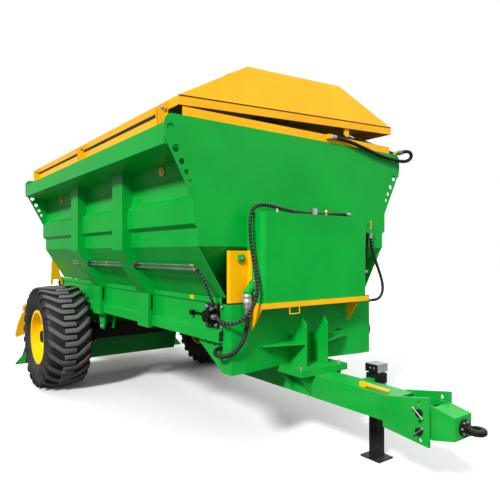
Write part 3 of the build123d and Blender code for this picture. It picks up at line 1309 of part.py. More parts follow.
def ram_plane(distance):
    """Plane across the cylinder at a distance from its base pin."""
    place = (at(RAM_X), RAM_BASE_Y + ram_along[1] * distance, RAM_BASE_Z + ram_along[2] * distance)
    return Plane(origin=place, x_dir=(1, 0, 0), z_dir=ram_along)


with BuildPart() as ram_barrel:
    with BuildSketch(ram_plane(20)):
        Circle(RAM_BARREL_RADIUS)
    extrude(amount=RAM_BARREL_LENGTH - 20)
    with BuildSketch(section(at(RAM_X) - RAM_EAR_GAP + 2)):
        with Locations((RAM_BASE_Y, RAM_BASE_Z)):
            Circle(RAM_EAR_RADIUS)
    extrude(amount=2 * RAM_EAR_GAP - 4)
    with BuildSketch(section(at(RAM_X) - RAM_EAR_GAP)):
        with Locations((RAM_BASE_Y, RAM_BASE_Z)):
            Circle(RAM_PIN + RUNNING_GAP)
    extrude(amount=2 * RAM_EAR_GAP, mode=Mode.SUBTRACT)
    with BuildSketch(ram_plane(RAM_BOTTOM)):
        Circle(RAM_BORE)
    extrude(amount=RAM_BARREL_LENGTH, mode=Mode.SUBTRACT)
save(ram_barrel.part, "ram_barrel")

ROD_INNER = 105
ROD_EYE_RADIUS = 22
with BuildPart() as ram_rod:
    with BuildSketch(ram_plane(ROD_INNER)):
        Circle(RAM_ROD_RADIUS)
    extrude(amount=RAM_LENGTH - ROD_INNER)
    with BuildSketch(section(at(RAM_X) - ROD_EYE_HALF)):
        with Locations((RAM_LUG_Y, RAM_LUG_Z)):
            Circle(ROD_EYE_RADIUS)
    extrude(amount=2 * ROD_EYE_HALF)
save(ram_rod.part, "ram_rod")

# Oil tank with cap, flange, bracket and guard
TANK_FRONT_X = FRONT_WALL_X + TANK_DEPTH
TANK_PORT_FROM_AXLE = 3140
TANK_PORT_Y = 500
TANK_PORT_RISE = 29
TANK_PORT = (32, 30, 45)
with BuildPart() as oil_tank:
    with BuildSketch(Plane.XY.offset(TANK_FLOOR_Z)) as tank_plan:
        with Locations((FRONT_WALL_X, 0)):
            Rectangle(TANK_DEPTH, 2 * TANK_HALF, align=(Align.MIN, Align.CENTER))
        fillet(tank_plan.vertices().group_by(Axis.X)[-1], TANK_CORNER)
    extrude(amount=TANK_TOP_Z - TANK_FLOOR_Z)
    with Locations((at(TANK_PORT_FROM_AXLE), TANK_PORT_Y, TANK_TOP_Z)):
        Box(*TANK_PORT, align=(Align.CENTER, Align.MIN, Align.MIN))
save(oil_tank.part, "oil_tank")

CAP_RADIUS = 27
CAP_HEIGHT = 55
CAP_Y = 30
with BuildPart() as tank_cap:
    with BuildSketch(Plane.XY.offset(TANK_TOP_Z)):
        with Locations((FRONT_WALL_X + TANK_DEPTH / 2, CAP_Y)):
            Circle(CAP_RADIUS)
    extrude(amount=CAP_HEIGHT)
save(tank_cap.part, "tank_cap")

ELBOW_RADIUS = 30
ELBOW_X = FRONT_WALL_X + 85
ELBOW_Z = 1305
ELBOW_REACH = 62
TANK_FLANGE_RADIUS = 58
TANK_FLANGE = 14
SPIGOT_RADIUS = 24
SPIGOT_DROP = 150
ELBOW_BEND = 36
ELBOW_DROP = 70
ELBOW_BEND_Y = -TANK_HALF - ELBOW_REACH + ELBOW_BEND
with BuildPart() as suction_elbow:
    with BuildSketch(side_plane(-TANK_HALF)):
        with Locations((ELBOW_X, ELBOW_Z)):
            Circle(TANK_FLANGE_RADIUS)
    extrude(amount=TANK_FLANGE)
    with BuildLine() as elbow_line:
        Polyline(
            (ELBOW_X, -TANK_HALF, ELBOW_Z),
            (ELBOW_X, ELBOW_BEND_Y, ELBOW_Z),
            (ELBOW_X, -TANK_HALF - ELBOW_REACH, ELBOW_Z - ELBOW_BEND),
            (ELBOW_X, -TANK_HALF - ELBOW_REACH, ELBOW_Z - ELBOW_DROP),
        )
    with BuildSketch(side_plane(-TANK_HALF)):
        with Locations((ELBOW_X, ELBOW_Z)):
            Circle(ELBOW_RADIUS)
    sweep(path=elbow_line.wires()[0], transition=Transition.RIGHT)
    with BuildSketch(Plane.XY.offset(ELBOW_Z - ELBOW_DROP)):
        with Locations((ELBOW_X, -TANK_HALF - ELBOW_REACH)):
            Circle(SPIGOT_RADIUS)
    extrude(amount=ELBOW_DROP - SPIGOT_DROP)
save(suction_elbow.part, "suction_elbow")

BRACKET_PLATE = TANK_FLOOR_Z - BULKHEAD_TOP_Z
BRACKET_FRONT_X = TANK_FRONT_X + 10
BRACKET_HALF = TANK_HALF + 6
BRACKET_LIP = 28
BRACKET_DROP = 190
BRACKET_REAR_X = FRONT_WALL_X - 60
bracket_gussets = [-BRACKET_HALF, BRACKET_HALF - BRACKET_PLATE - 110]
with BuildPart() as tank_bracket:
    with Locations((BRACKET_FRONT_X, 0, BULKHEAD_TOP_Z)):
        Box(
            BRACKET_FRONT_X - BRACKET_REAR_X,
            2 * BRACKET_HALF,
            BRACKET_PLATE,
            align=(Align.MAX, Align.CENTER, Align.MIN),
        )
        Box(BRACKET_PLATE, 2 * BRACKET_HALF, BRACKET_LIP, align=(Align.MAX, Align.CENTER, Align.MAX))
    for y in bracket_gussets:
        with BuildSketch(side_plane(y)):
            Polygon(
                (at(BULKHEAD_FRONT), BULKHEAD_TOP_Z),
                (BRACKET_FRONT_X - BRACKET_PLATE, BULKHEAD_TOP_Z),
                (BRACKET_FRONT_X - BRACKET_PLATE, BULKHEAD_TOP_Z - BRACKET_LIP),
                (at(BULKHEAD_FRONT) + 15, BULKHEAD_TOP_Z - BRACKET_DROP),
                (at(BULKHEAD_FRONT), BULKHEAD_TOP_Z - BRACKET_DROP),
                align=None,
            )
        extrude(amount=-BRACKET_PLATE)
save(tank_bracket.part, "tank_bracket")

GUARD_HALF = 735
GUARD_SHEET = 5
GUARD_TOP_Z = 1570
GUARD_REAR_X = FRONT_WALL_X - 15
GUARD_X = FRONT_WALL_X + 12
GUARD_BEND = 10
GUARD_FLANGE = 48
guard_path = [
    (GUARD_REAR_X, -GUARD_HALF),
    (GUARD_X, -GUARD_HALF + GUARD_BEND),
    (GUARD_X, -TANK_HALF - GUARD_SHEET),
    (GUARD_X + GUARD_FLANGE, -TANK_HALF - GUARD_SHEET),
]
with BuildPart() as tank_guard:
    with BuildSketch(Plane.XY.offset(TANK_FLOOR_Z)):
        Polygon(*sheet(guard_path, -GUARD_SHEET), align=None)
    extrude(amount=GUARD_TOP_Z - TANK_FLOOR_Z)
    with BuildSketch(side_plane(-TANK_HALF)):
        with Locations((ELBOW_X, ELBOW_Z)):
            Circle(TANK_FLANGE_RADIUS + 3)
    extrude(amount=TANK_FLANGE + 3, mode=Mode.SUBTRACT)
save(tank_guard.part, "tank_guard")

# Spreader: beam, struts and motor plate
STRUT_HALF = 70
STRUT_PLATE = 14
BEAM_HALF = 1180
MOTOR_PLATE = 12
MOTOR_PLATE_HALF = 600
MOTOR_PLATE_MARGIN = 80
DISC_Y = DISC_SPACING / 2
with BuildPart() as spreader_frame:
    with Locations((at(BEAM_FROM_AXLE), 0, BEAM_Z)):
        Box(BEAM_SIZE, 2 * BEAM_HALF, BEAM_SIZE)
    for sign in (-1, 1):
        with BuildSketch(side_plane(sign * STRUT_HALF)):
            Polygon(
                (at(BEAM_FROM_AXLE) - BEAM_SIZE / 2, BEAM_Z),
                (at(BEAM_FROM_AXLE) - BEAM_SIZE / 2, MOTOR_PLATE_Z),
                (at(BEAM_FROM_AXLE) + BEAM_SIZE / 2, MOTOR_PLATE_Z),
                (at(BEAM_FROM_AXLE) + BEAM_SIZE / 2, BEAM_Z),
                align=None,
            )
        extrude(amount=sign * STRUT_PLATE)
    with Locations((at((BEAM_FROM_AXLE + DISC_FROM_AXLE) / 2), 0, MOTOR_PLATE_Z)):
        Box(
            DISC_FROM_AXLE - BEAM_FROM_AXLE + 2 * MOTOR_PLATE_MARGIN,
            2 * MOTOR_PLATE_HALF,
            MOTOR_PLATE,
            align=(Align.CENTER, Align.CENTER, Align.MAX),
        )
save(spreader_frame.part, "spreader_frame")

SPINNER_MOTOR_RADIUS = 58
SPINNER_MOTOR_HEIGHT = 90
SPINNER_MOTOR_DROP = 70
SPINNER_SHAFT = 20
SPINNER_HUB_RADIUS = 60
with BuildPart() as spinner_motors:
    for sign in (-1, 1):
        with BuildSketch(Plane.XY.offset(MOTOR_PLATE_Z)):
            with Locations((at(DISC_FROM_AXLE), sign * DISC_Y)):
                Circle(SPINNER_MOTOR_RADIUS)
        extrude(amount=SPINNER_MOTOR_HEIGHT)
        with BuildSketch(Plane.XY.offset(MOTOR_PLATE_Z)):
            with Locations((at(DISC_FROM_AXLE), sign * DISC_Y)):
                Circle(SPINNER_SHAFT)
        extrude(amount=DISC_Z - MOTOR_PLATE_Z - 2)
        with BuildSketch(Plane.XY.offset(MOTOR_PLATE_Z - MOTOR_PLATE)):
            with Locations((at(DISC_FROM_AXLE), sign * DISC_Y)):
                Circle(SPINNER_MOTOR_RADIUS - 12)
        extrude(amount=-SPINNER_MOTOR_DROP)
save(spinner_motors.part, "spinner_motors")

VANE_COUNT = 4
VANE_PLATE = 8
VANE_START = 90
DISC_HUB_Z = MOTOR_PLATE_Z + SPINNER_MOTOR_HEIGHT + MOVING_GAP
for side, sign in SIDES:
    with BuildPart() as disc:
        with BuildSketch(Plane.XY.offset(DISC_Z)):
            with Locations((at(DISC_FROM_AXLE), sign * DISC_Y)):
                Circle(DISC_DIAMETER / 2)
        extrude(amount=DISC_PLATE)
        with BuildSketch(Plane.XY.offset(DISC_HUB_Z)):
            with Locations((at(DISC_FROM_AXLE), sign * DISC_Y)):
                Circle(SPINNER_HUB_RADIUS)
        extrude(amount=DISC_Z - DISC_HUB_Z)
        with BuildSketch(Plane.XY.offset(DISC_HUB_Z)):
            with Locations((at(DISC_FROM_AXLE), sign * DISC_Y)):
                Circle(SPINNER_SHAFT + RUNNING_GAP)
        extrude(amount=DISC_Z - DISC_HUB_Z, mode=Mode.SUBTRACT)
        vane_length = DISC_DIAMETER / 2 - VANE_START - 6
        with Locations((at(DISC_FROM_AXLE), sign * DISC_Y, DISC_Z + DISC_PLATE)):
            with PolarLocations(VANE_START + vane_length / 2, VANE_COUNT):
                Box(
                    vane_length,
                    VANE_PLATE,
                    VANE_HEIGHT,
                    align=(Align.CENTER, Align.CENTER, Align.MIN),
                )
    save(disc.part, "spinner_disc_" + side)

# Discharge chute behind the belt's end
CHUTE_SHEET = 6
CHUTE_TOP_Z = ARM_Z
CHUTE_BOTTOM_Z = 650
CHUTE_HALF = WEB_HALF - CHASSIS_SHEET - ARM_PLATE
with BuildPart() as discharge_chute:
    with BuildSketch(side_plane(CHUTE_HALF)):
        Polygon(
            *sheet(
                [
                    (at(BEAM_FRONT), CHUTE_TOP_Z),
                    (at(BEAM_FRONT), BEAM_BOTTOM_Z),
                    (at(BEAM_FRONT + 50), CHUTE_BOTTOM_Z),
                ],
                -CHUTE_SHEET,
            ),
            align=None,
        )
    extrude(amount=2 * CHUTE_HALF)
save(discharge_chute.part, "discharge_chute")

# Apron between the wheels
APRON_X = -440
APRON_BOTTOM_Z = 178
APRON_FOLD_Z = 480
APRON_HALF = 770
APRON_UPPER_HALF = 560
APRON_SHEET = 6
APRON_REAR = -660
with BuildPart() as apron:
    with BuildSketch(section(at(APRON_X) - APRON_SHEET)):
        Polygon(
            (-APRON_HALF, APRON_FOLD_Z),
            (-APRON_HALF + 60, APRON_BOTTOM_Z),
            (APRON_HALF - 60, APRON_BOTTOM_Z),
            (APRON_HALF, APRON_FOLD_Z),
            align=None,
        )
    extrude(amount=APRON_SHEET)
    with BuildSketch(side_plane(APRON_UPPER_HALF)):
        Polygon(
            *sheet(
                [
                    (at(APRON_X), APRON_FOLD_Z - 20),
                    (at(APRON_X), APRON_FOLD_Z),
                    (at(APRON_REAR), CROSS_Z),
                ],
                -APRON_SHEET,
            ),
            align=None,
        )
    extrude(amount=2 * APRON_UPPER_HALF)
save(apron.part, "apron")

# Guards behind the wheels, at the beam's ends
FLAP_X = BEAM_FROM_AXLE - BEAM_SIZE / 2
FLAP_PLATE = 6
flap_outline = [
    (930, BEAM_BOTTOM_Z - 15),
    (1060, BEAM_BOTTOM_Z - 15),
    (1060, BEAM_Z + 60),
    (1150, BEAM_Z + 60),
    (1150, BEAM_BOTTOM_Z - 15),
    (1180, BEAM_BOTTOM_Z - 20),
    (1235, 600),
    (1268, 450),
    (1255, 410),
    (1120, 450),
    (930, 450),
]
with BuildPart() as side_flaps:
    with BuildSketch(section(at(FLAP_X) - FLAP_PLATE)):
        Polygon(*flap_outline, align=None)
    extrude(amount=FLAP_PLATE)
    mirror(about=Plane.XZ)
save(side_flaps.part, "side_flaps")

skirt_outline = [
    (960, 700),
    (1110, 700),
    (1130, 420),
    (1145, 260),
    (1180, 150),
    (1262, 60),
    (1262, 40),
    (960, 40),
]
with BuildPart() as rear_skirts:
    with BuildSketch(section(at(FLAP_X) - 2 * FLAP_PLATE)):
        Polygon(*skirt_outline, align=None)
    extrude(amount=FLAP_PLATE)
    mirror(about=Plane.XZ)
save(rear_skirts.part, "rear_skirts")

# Lamp brackets at the hopper's rear corners
LAMP_PLATE = 12
bracket_outline = [
    (860, 1480),
    (905, 1480),
    (925, 1130),
    (900, 1130),
    (890, 1200),
    (800, 1200),
    (785, 1130),
    (762, 1130),
]
with BuildPart() as lamp_brackets:
    with BuildSketch(section(REAR_WALL_X - LAMP_PLATE)):
        Polygon(*bracket_outline, align=None)
    extrude(amount=LAMP_PLATE)
    mirror(about=Plane.XZ)
save(lamp_brackets.part, "lamp_brackets")

LAMP_WIDTH = 70
LAMP_HEIGHT = 150
LAMP_DEPTH = 45
LAMP_Y = 848
LAMP_Z = 1290
with BuildPart() as rear_lamps:
    with Locations((REAR_WALL_X - LAMP_PLATE, LAMP_Y, LAMP_Z)):
        Box(LAMP_DEPTH, LAMP_WIDTH, LAMP_HEIGHT, align=(Align.MAX, Align.CENTER, Align.CENTER))
    mirror(about=Plane.XZ)
save(rear_lamps.part, "rear_lamps")

# Hoses: each run from fitting to fitting, its points with X counted from the axle
HOSE_BEND = 0.45
TILTED_PORT = [FRONT_ROLLER + PORT_RISE * PORT_AXES[1][0], PORT_Y, ROLLER_Z + PORT_RISE * PORT_AXES[1][2]]
PIPE_LOW_Z = PIPE_Z - PIPE_SPACING / 2
TANK_PORT_Z = TANK_TOP_Z + TANK_PORT_RISE
ELBOW_FROM_AXLE = ELBOW_X - AXLE_X
SPIGOT_Y = -TANK_HALF - ELBOW_REACH
SPIGOT_Z = ELBOW_Z - SPIGOT_DROP
CHEEK_INNER = BULKHEAD_HALF - BULKHEAD_SHEET / 2
LID_CLIP_X = FRONT_WALL_FROM_AXLE - WALL_PLATE + LID_CLIP[0] / 2 + 1
LID_CLIP_Z = RIM_TOP_Z - LID_HOSE / 2 - 1
HOSES = [
    {
        "name": "hose_motor_feed",
        "diameter": PRESSURE_HOSE,
        "points": [
            (TANK_PORT_FROM_AXLE, TANK_PORT_Y, TANK_PORT_Z),
            (TANK_PORT_FROM_AXLE, 400, TANK_PORT_Z),
            (3140, 260, 1874),
            (3138, 90, 1868),
            (3140, -90, 1872),
            (3146, -250, 1890),
            (3157, -390, 1910),
            (3172, -490, 1912),
            (3190, -572, 1886),
            (3204, -612, 1822),
            (3212, -622, 1738),
            (3224, -622, 1622),
            (3248, -618, 1500),
            (3278, -614, 1392),
            (3296, -614, 1296),
            (3290, -634, 1206),
            (3268, -682, 1118),
            (3238, -744, 1066),
            (3190, -796, 1056),
            (3130, -812, 1068),
            (3064, PORT_Y, ROLLER_Z),
            (FRONT_ROLLER + PORT_RISE, PORT_Y, ROLLER_Z),
        ],
    },
    {
        "name": "hose_motor_return",
        "diameter": RETURN_HOSE,
        "points": [
            (PIPE_FRONT, -PIPE_Y, PIPE_LOW_Z),
            (3004, -PIPE_Y, PIPE_LOW_Z),
            (3044, -927, 1408),
            (3066, -914, 1364),
            (3074, -896, 1308),
            (3068, -868, 1252),
            (3046, -834, 1206),
            (TILTED_PORT[0] + 33, PORT_Y, TILTED_PORT[2] + 33),
            TILTED_PORT,
        ],
    },
    {
        "name": "hose_suction",
        "diameter": SUCTION_HOSE,
        "points": [
            (ELBOW_FROM_AXLE, SPIGOT_Y, SPIGOT_Z),
            (ELBOW_FROM_AXLE, SPIGOT_Y, 1081),
            (3191, -636, 1004),
            (3194, -664, 930),
            (3190, -708, 874),
            (3176, -754, 840),
            (3148, -794, 824),
            (3112, -820, 824),
            (3074, -826, 834),
            (3044, -808, 848),
            (CHEEK_HOLE_FROM_AXLE, -776, CHEEK_HOLES[0]["z"]),
            (CHEEK_HOLE_FROM_AXLE, -CHEEK_INNER, CHEEK_HOLES[0]["z"]),
        ],
    },
    {
        "name": "hose_left_loop",
        "diameter": PRESSURE_HOSE,
        "points": [
            (WALL_PORT_FROM_AXLE, WALL_PORT_Y, WALL_PORT_Z),
            (WALL_PORT_FROM_AXLE, WALL_PORT_Y, 1670),
            (3130, 804, 1600),
            (3130, 836, 1520),
            (3128, 880, 1435),
            (3124, 930, 1350),
            (3118, 966, 1275),
            (3112, 978, 1205),
            (3104, 955, 1150),
            (3092, 908, 1124),
            (3062, 858, 1122),
            (3062, HOSE_BLOCK_END, 1122),
        ],
    },
    {
        "name": "hose_left_drop",
        "diameter": PRESSURE_HOSE,
        "points": [
            (3060, 782, HOSE_BLOCK_Z),
            (3060, 782, 1036),
            (3066, 792, 980),
            (3074, 810, 926),
            (3076, 828, 876),
            (3068, 834, 832),
            (3054, 822, 806),
            (3038, 794, 794),
            (CHEEK_HOLE_FROM_AXLE, 764, CHEEK_HOLES[1]["z"]),
            (CHEEK_HOLE_FROM_AXLE, CHEEK_INNER, CHEEK_HOLES[1]["z"]),
        ],
    },
    {
        "name": "hose_lid",
        "diameter": LID_HOSE,
        "points": [
            (LID_PORT_FROM_AXLE, RAM_BASE_Y, RAM_BASE_Z + LID_PORT_RISE),
            (3140, RAM_BASE_Y, RAM_BASE_Z + LID_PORT_RISE),
            (3172, 1242, 2512),
            (3190, 1276, 2508),
            (3194, 1300, 2482),
            (3182, 1304, 2450),
            (3160, 1284, 2428),
            (3142, 1244, 2420),
            (3132, 1190, 2421),
            (3128, 1130, 2425),
            (3126, 1050, 2429),
            (3126, 960, 2437),
            (3126, 860, 2452),
            (3126, 760, 2472),
            (3124, 660, 2492),
            (3122, 570, 2509),
            (3118, 490, 2521),
            (3114, 420, 2528),
            (LID_CLIP_X, 355, LID_CLIP_Z),
            (LID_CLIP_X, LID_CLIP_Y, LID_CLIP_Z),
        ],
    },
]


def bend_radii(points):
    """Radius at each corner of a run, as large as the two lengths beside it allow."""
    radii = []
    for before, corner, after in zip(points, points[1:], points[2:]):
        first = Vector(*corner) - Vector(*before)
        second = Vector(*after) - Vector(*corner)
        half_turn = math.radians(first.get_angle(second)) / 2
        radii.append(HOSE_BEND * min(first.length, second.length) / math.tan(half_turn))
    return radii


for hose in HOSES:
    points = [(at(x), y, z) for x, y, z in hose["points"]]
    radii = bend_radii(points)
    first_run = Vector(*points[1]) - Vector(*points[0])
    with BuildPart() as tube:
        with BuildLine() as run:
            FilletPolyline(*points, radius=radii)
        with BuildSketch(Plane(origin=points[0], z_dir=first_run)):
            Circle(hose["diameter"] / 2)
        sweep(path=run.wires()[0])
    save(tube.part, hose["name"])
    length = run.wires()[0].length
    bore = math.pi * hose["diameter"] ** 2 / 4 * length
    print(hose["name"], "length", round(length), "volume ratio", round(tube.part.volume / bore, 4))
    print("  radii", [round(radius) for radius in radii])
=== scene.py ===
import json
import math
from itertools import product

import bpy
from bpy.props import FloatProperty, FloatVectorProperty, IntProperty, PointerProperty
from bpy.types import Operator, Panel, PropertyGroup
from mathutils import Matrix, Quaternion, Vector


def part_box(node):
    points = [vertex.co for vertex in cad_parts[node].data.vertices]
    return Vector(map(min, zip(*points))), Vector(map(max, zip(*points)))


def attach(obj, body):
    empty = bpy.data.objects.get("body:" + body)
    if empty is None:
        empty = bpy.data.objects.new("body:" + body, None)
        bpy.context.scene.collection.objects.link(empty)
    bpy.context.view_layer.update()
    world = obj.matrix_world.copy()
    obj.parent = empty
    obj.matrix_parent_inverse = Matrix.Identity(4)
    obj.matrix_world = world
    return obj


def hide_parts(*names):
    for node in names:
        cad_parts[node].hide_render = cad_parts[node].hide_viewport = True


bl_info = {
    "name": "Fertilizer Spreader Finish",
    "version": (1, 0, 0),
    "blender": (4, 5, 0),
    "location": "3D View > Sidebar > Spreader",
    "description": "Paints a towed fertilizer spreader and adds its tyres, hoses and fasteners",
    "category": "Object",
}

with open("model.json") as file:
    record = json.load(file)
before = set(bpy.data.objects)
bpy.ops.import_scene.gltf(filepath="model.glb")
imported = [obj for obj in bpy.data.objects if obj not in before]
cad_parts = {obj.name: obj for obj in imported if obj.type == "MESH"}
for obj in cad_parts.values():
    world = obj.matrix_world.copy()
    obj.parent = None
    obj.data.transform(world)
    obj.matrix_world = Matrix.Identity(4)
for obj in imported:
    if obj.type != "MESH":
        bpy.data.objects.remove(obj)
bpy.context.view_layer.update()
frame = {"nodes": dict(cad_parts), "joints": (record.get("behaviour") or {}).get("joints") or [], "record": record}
NODES = frame["nodes"]
SIDES = (("right", -1), ("left", 1))
SIGNS = (-1, 1)
AXLE = sum(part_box("axle_beam"), Vector()) / 2

# Materials, made once and shared by the operators
FINISHES = {}

# Hoses from fitting to fitting, in metres; the routes count X from the axle
HOSES = (
    {
        "name": "hose_motor_feed", "diameter": 0.026, "length": 2.234,
        "route": (
            (3.140, 0.500, 1.880), (3.140, 0.400, 1.880), (3.140, 0.260, 1.874), (3.138, 0.090, 1.868),
            (3.140, -0.090, 1.872), (3.146, -0.250, 1.890), (3.157, -0.390, 1.910), (3.172, -0.490, 1.912),
            (3.190, -0.572, 1.886), (3.204, -0.612, 1.822), (3.212, -0.622, 1.738), (3.224, -0.622, 1.622),
            (3.248, -0.618, 1.500), (3.278, -0.614, 1.392), (3.296, -0.614, 1.296), (3.290, -0.634, 1.206),
            (3.268, -0.682, 1.118), (3.238, -0.744, 1.066), (3.190, -0.796, 1.056), (3.130, -0.812, 1.068),
            (3.064, -0.800, 1.088), (2.998, -0.800, 1.088),
        ),
    },
    {
        "name": "hose_motor_return", "diameter": 0.018, "length": 0.428,
        "route": (
            (2.960, -0.935, 1.433), (3.004, -0.935, 1.433), (3.044, -0.927, 1.408), (3.066, -0.914, 1.364),
            (3.074, -0.896, 1.308), (3.068, -0.868, 1.252), (3.046, -0.834, 1.206), (3.010, -0.800, 1.172),
            (2.977, -0.800, 1.139),
        ),
    },
    {
        "name": "hose_suction", "diameter": 0.032, "length": 0.604,
        "route": (
            (3.185, -0.626, 1.155), (3.185, -0.626, 1.081), (3.191, -0.636, 1.004), (3.194, -0.664, 0.930),
            (3.190, -0.708, 0.874), (3.176, -0.754, 0.840), (3.148, -0.794, 0.824), (3.112, -0.820, 0.824),
            (3.074, -0.826, 0.834), (3.044, -0.808, 0.848), (3.030, -0.776, 0.860), (3.030, -0.737, 0.860),
        ),
    },
    {
        "name": "hose_left_loop", "diameter": 0.026, "length": 0.784,
        "route": (
            (3.130, 0.790, 1.730), (3.130, 0.790, 1.670), (3.130, 0.804, 1.600), (3.130, 0.836, 1.520),
            (3.128, 0.880, 1.435), (3.124, 0.930, 1.350), (3.118, 0.966, 1.275), (3.112, 0.978, 1.205),
            (3.104, 0.955, 1.150), (3.092, 0.908, 1.124), (3.062, 0.858, 1.122), (3.062, 0.808, 1.122),
        ),
    },
    {
        "name": "hose_left_drop", "diameter": 0.026, "length": 0.388,
        "route": (
            (3.060, 0.782, 1.090), (3.060, 0.782, 1.036), (3.066, 0.792, 0.980), (3.074, 0.810, 0.926),
            (3.076, 0.828, 0.876), (3.068, 0.834, 0.832), (3.054, 0.822, 0.806), (3.038, 0.794, 0.794),
            (3.030, 0.764, 0.792), (3.030, 0.737, 0.792),
        ),
    },
    {
        "name": "hose_lid", "diameter": 0.032, "length": 1.218,
        "route": (
            (3.100, 1.215, 2.504), (3.140, 1.215, 2.504), (3.172, 1.242, 2.512), (3.190, 1.276, 2.508),
            (3.194, 1.300, 2.482), (3.182, 1.304, 2.450), (3.160, 1.284, 2.428), (3.142, 1.244, 2.420),
            (3.132, 1.190, 2.421), (3.128, 1.130, 2.425), (3.126, 1.050, 2.429), (3.126, 0.960, 2.437),
            (3.126, 0.860, 2.452), (3.126, 0.760, 2.472), (3.124, 0.660, 2.492), (3.122, 0.570, 2.509),
            (3.118, 0.490, 2.521), (3.114, 0.420, 2.528), (3.111, 0.355, 2.531), (3.111, 0.300, 2.531),
        ),
    },
)


def middle(node):
    """Middle of a node's box."""
    low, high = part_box(node)
    return (low + high) / 2


def extent(node):
    """Lengths of a node's box."""
    low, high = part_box(node)
    return high - low


def at(along, across, up):
    """Point with X counted from the axle."""
    return Vector((AXLE.x + along, across, up))


# Properties


class SpreaderColours(PropertyGroup):
    """Colours of the machine's finishes."""

    green: FloatVectorProperty(
        name="Green", description="Paint of hopper, chassis and drawbar", subtype="COLOR",
        size=3, min=0, max=1, default=(0.0004, 0.350, 0.034),
    )
    yellow: FloatVectorProperty(
        name="Yellow", description="Paint of lid and brackets", subtype="COLOR",
        size=3, min=0, max=1, default=(0.93, 0.44, 0.001),
    )
    wheel: FloatVectorProperty(
        name="Wheel yellow", description="Paint of the wheel rims", subtype="COLOR",
        size=3, min=0, max=1, default=(0.98, 0.60, 0.001),
    )
    black: FloatVectorProperty(
        name="Black", description="Paint of axle, jack and cylinder", subtype="COLOR",
        size=3, min=0, max=1, default=(0.005, 0.005, 0.0055),
    )
    rubber: FloatVectorProperty(
        name="Rubber", description="Tyre rubber", subtype="COLOR",
        size=3, min=0, max=1, default=(0.015, 0.015, 0.016),
    )
    dust: FloatVectorProperty(
        name="Dust", description="Dry dust that settles on the paint", subtype="COLOR",
        size=3, min=0, max=1, default=(0.42, 0.38, 0.30),
    )


class SpreaderSizes(PropertyGroup):
    """Sizes of the pieces that are added to the solids."""

    lug_count: IntProperty(
        name="Lugs", description="Lugs on each half of a tyre", min=12, max=48, default=25
    )
    lug_height: FloatProperty(
        name="Lug height", description="Height of a lug over the tread base", unit="LENGTH",
        min=0.005, max=0.06, default=0.030,
    )
    wheel_nut: FloatProperty(
        name="Wheel nut", description="Radius of a wheel nut", unit="LENGTH",
        min=0.005, max=0.04, default=0.017,
    )


class SpreaderStage(PropertyGroup):
    """Studio round the machine."""

    camera: FloatVectorProperty(
        name="Camera", description="Place of the camera", subtype="TRANSLATION",
        size=3, default=(4.479, -2.744, 1.555),
    )
    forward: FloatVectorProperty(
        name="Forward", description="Way the camera looks", subtype="DIRECTION",
        size=3, default=(-0.80226, 0.59694, 0.0055),
    )
    lens: FloatProperty(
        name="Lens", description="Focal length on a 36 mm sensor, in millimetres",
        min=10, max=200, default=35.86,
    )
    key: FloatProperty(
        name="Key light", description="Strength that the lights share", min=0, max=20, default=3.6
    )
    sky: FloatProperty(
        name="Sky", description="Strength of the pale surround as a light", min=0, max=3, default=1.10
    )


# Shader nodes


def add(tree, kind, **values):
    """New node with properties and input values set by name."""
    node = tree.nodes.new(kind)
    for key, value in values.items():
        if hasattr(node, key):
            setattr(node, key, value)
        else:
            node.inputs[key.replace("_", " ")].default_value = value
    return node


def feed(tree, value, socket):
    """Link a socket's value to an input, or set a plain value on it."""
    if isinstance(value, bpy.types.NodeSocket):
        tree.links.new(value, socket)
    else:
        socket.default_value = value


def math_node(tree, operation, first, second, clamp=False):
    """Math node fed by sockets or numbers."""
    node = add(tree, "ShaderNodeMath", operation=operation, use_clamp=clamp)
    feed(tree, first, node.inputs[0])
    feed(tree, second, node.inputs[1])
    return node.outputs[0]


def vector_math(tree, operation, first, second=(0.0, 0.0, 0.0)):
    """Vector Math node fed by sockets or vectors."""
    node = add(tree, "ShaderNodeVectorMath", operation=operation)
    feed(tree, first, node.inputs[0])
    feed(tree, second, node.inputs[1])
    return node.outputs["Value" if operation in ("DOT_PRODUCT", "LENGTH") else "Vector"]


def ramp(tree, value, low, high):
    """Value spread from low..high to 0..1, held inside."""
    node = add(tree, "ShaderNodeMapRange", From_Min=low, From_Max=high)
    tree.links.new(value, node.inputs["Value"])
    return node.outputs["Result"]


def noise(tree, place, scale, detail, roughness=0.5):
    """Noise over a place, its scale a number or a socket."""
    node = add(tree, "ShaderNodeTexNoise", Detail=detail, Roughness=roughness)
    tree.links.new(place, node.inputs["Vector"])
    feed(tree, scale, node.inputs["Scale"])
    return node.outputs["Fac"]


def upward(tree, vector):
    """Z part of a vector."""
    node = tree.nodes.new("ShaderNodeSeparateXYZ")
    tree.links.new(vector, node.inputs[0])
    return node.outputs["Z"]


def object_place(tree):
    """Object coordinates."""
    return tree.nodes.new("ShaderNodeTexCoord").outputs["Object"]


def mix_colours(tree, mask, first, second):
    """Colour mixed by a mask from one colour or socket to another."""
    node = add(tree, "ShaderNodeMix", data_type="RGBA")
    tree.links.new(mask, node.inputs["Factor"])
    for name, value in (("A", first), ("B", second)):
        socket = next(s for s in node.inputs if s.name == name and s.type == "RGBA")
        feed(tree, value if isinstance(value, bpy.types.NodeSocket) else (*value, 1.0), socket)
    return next(s for s in node.outputs if s.type == "RGBA")


# Shader node groups


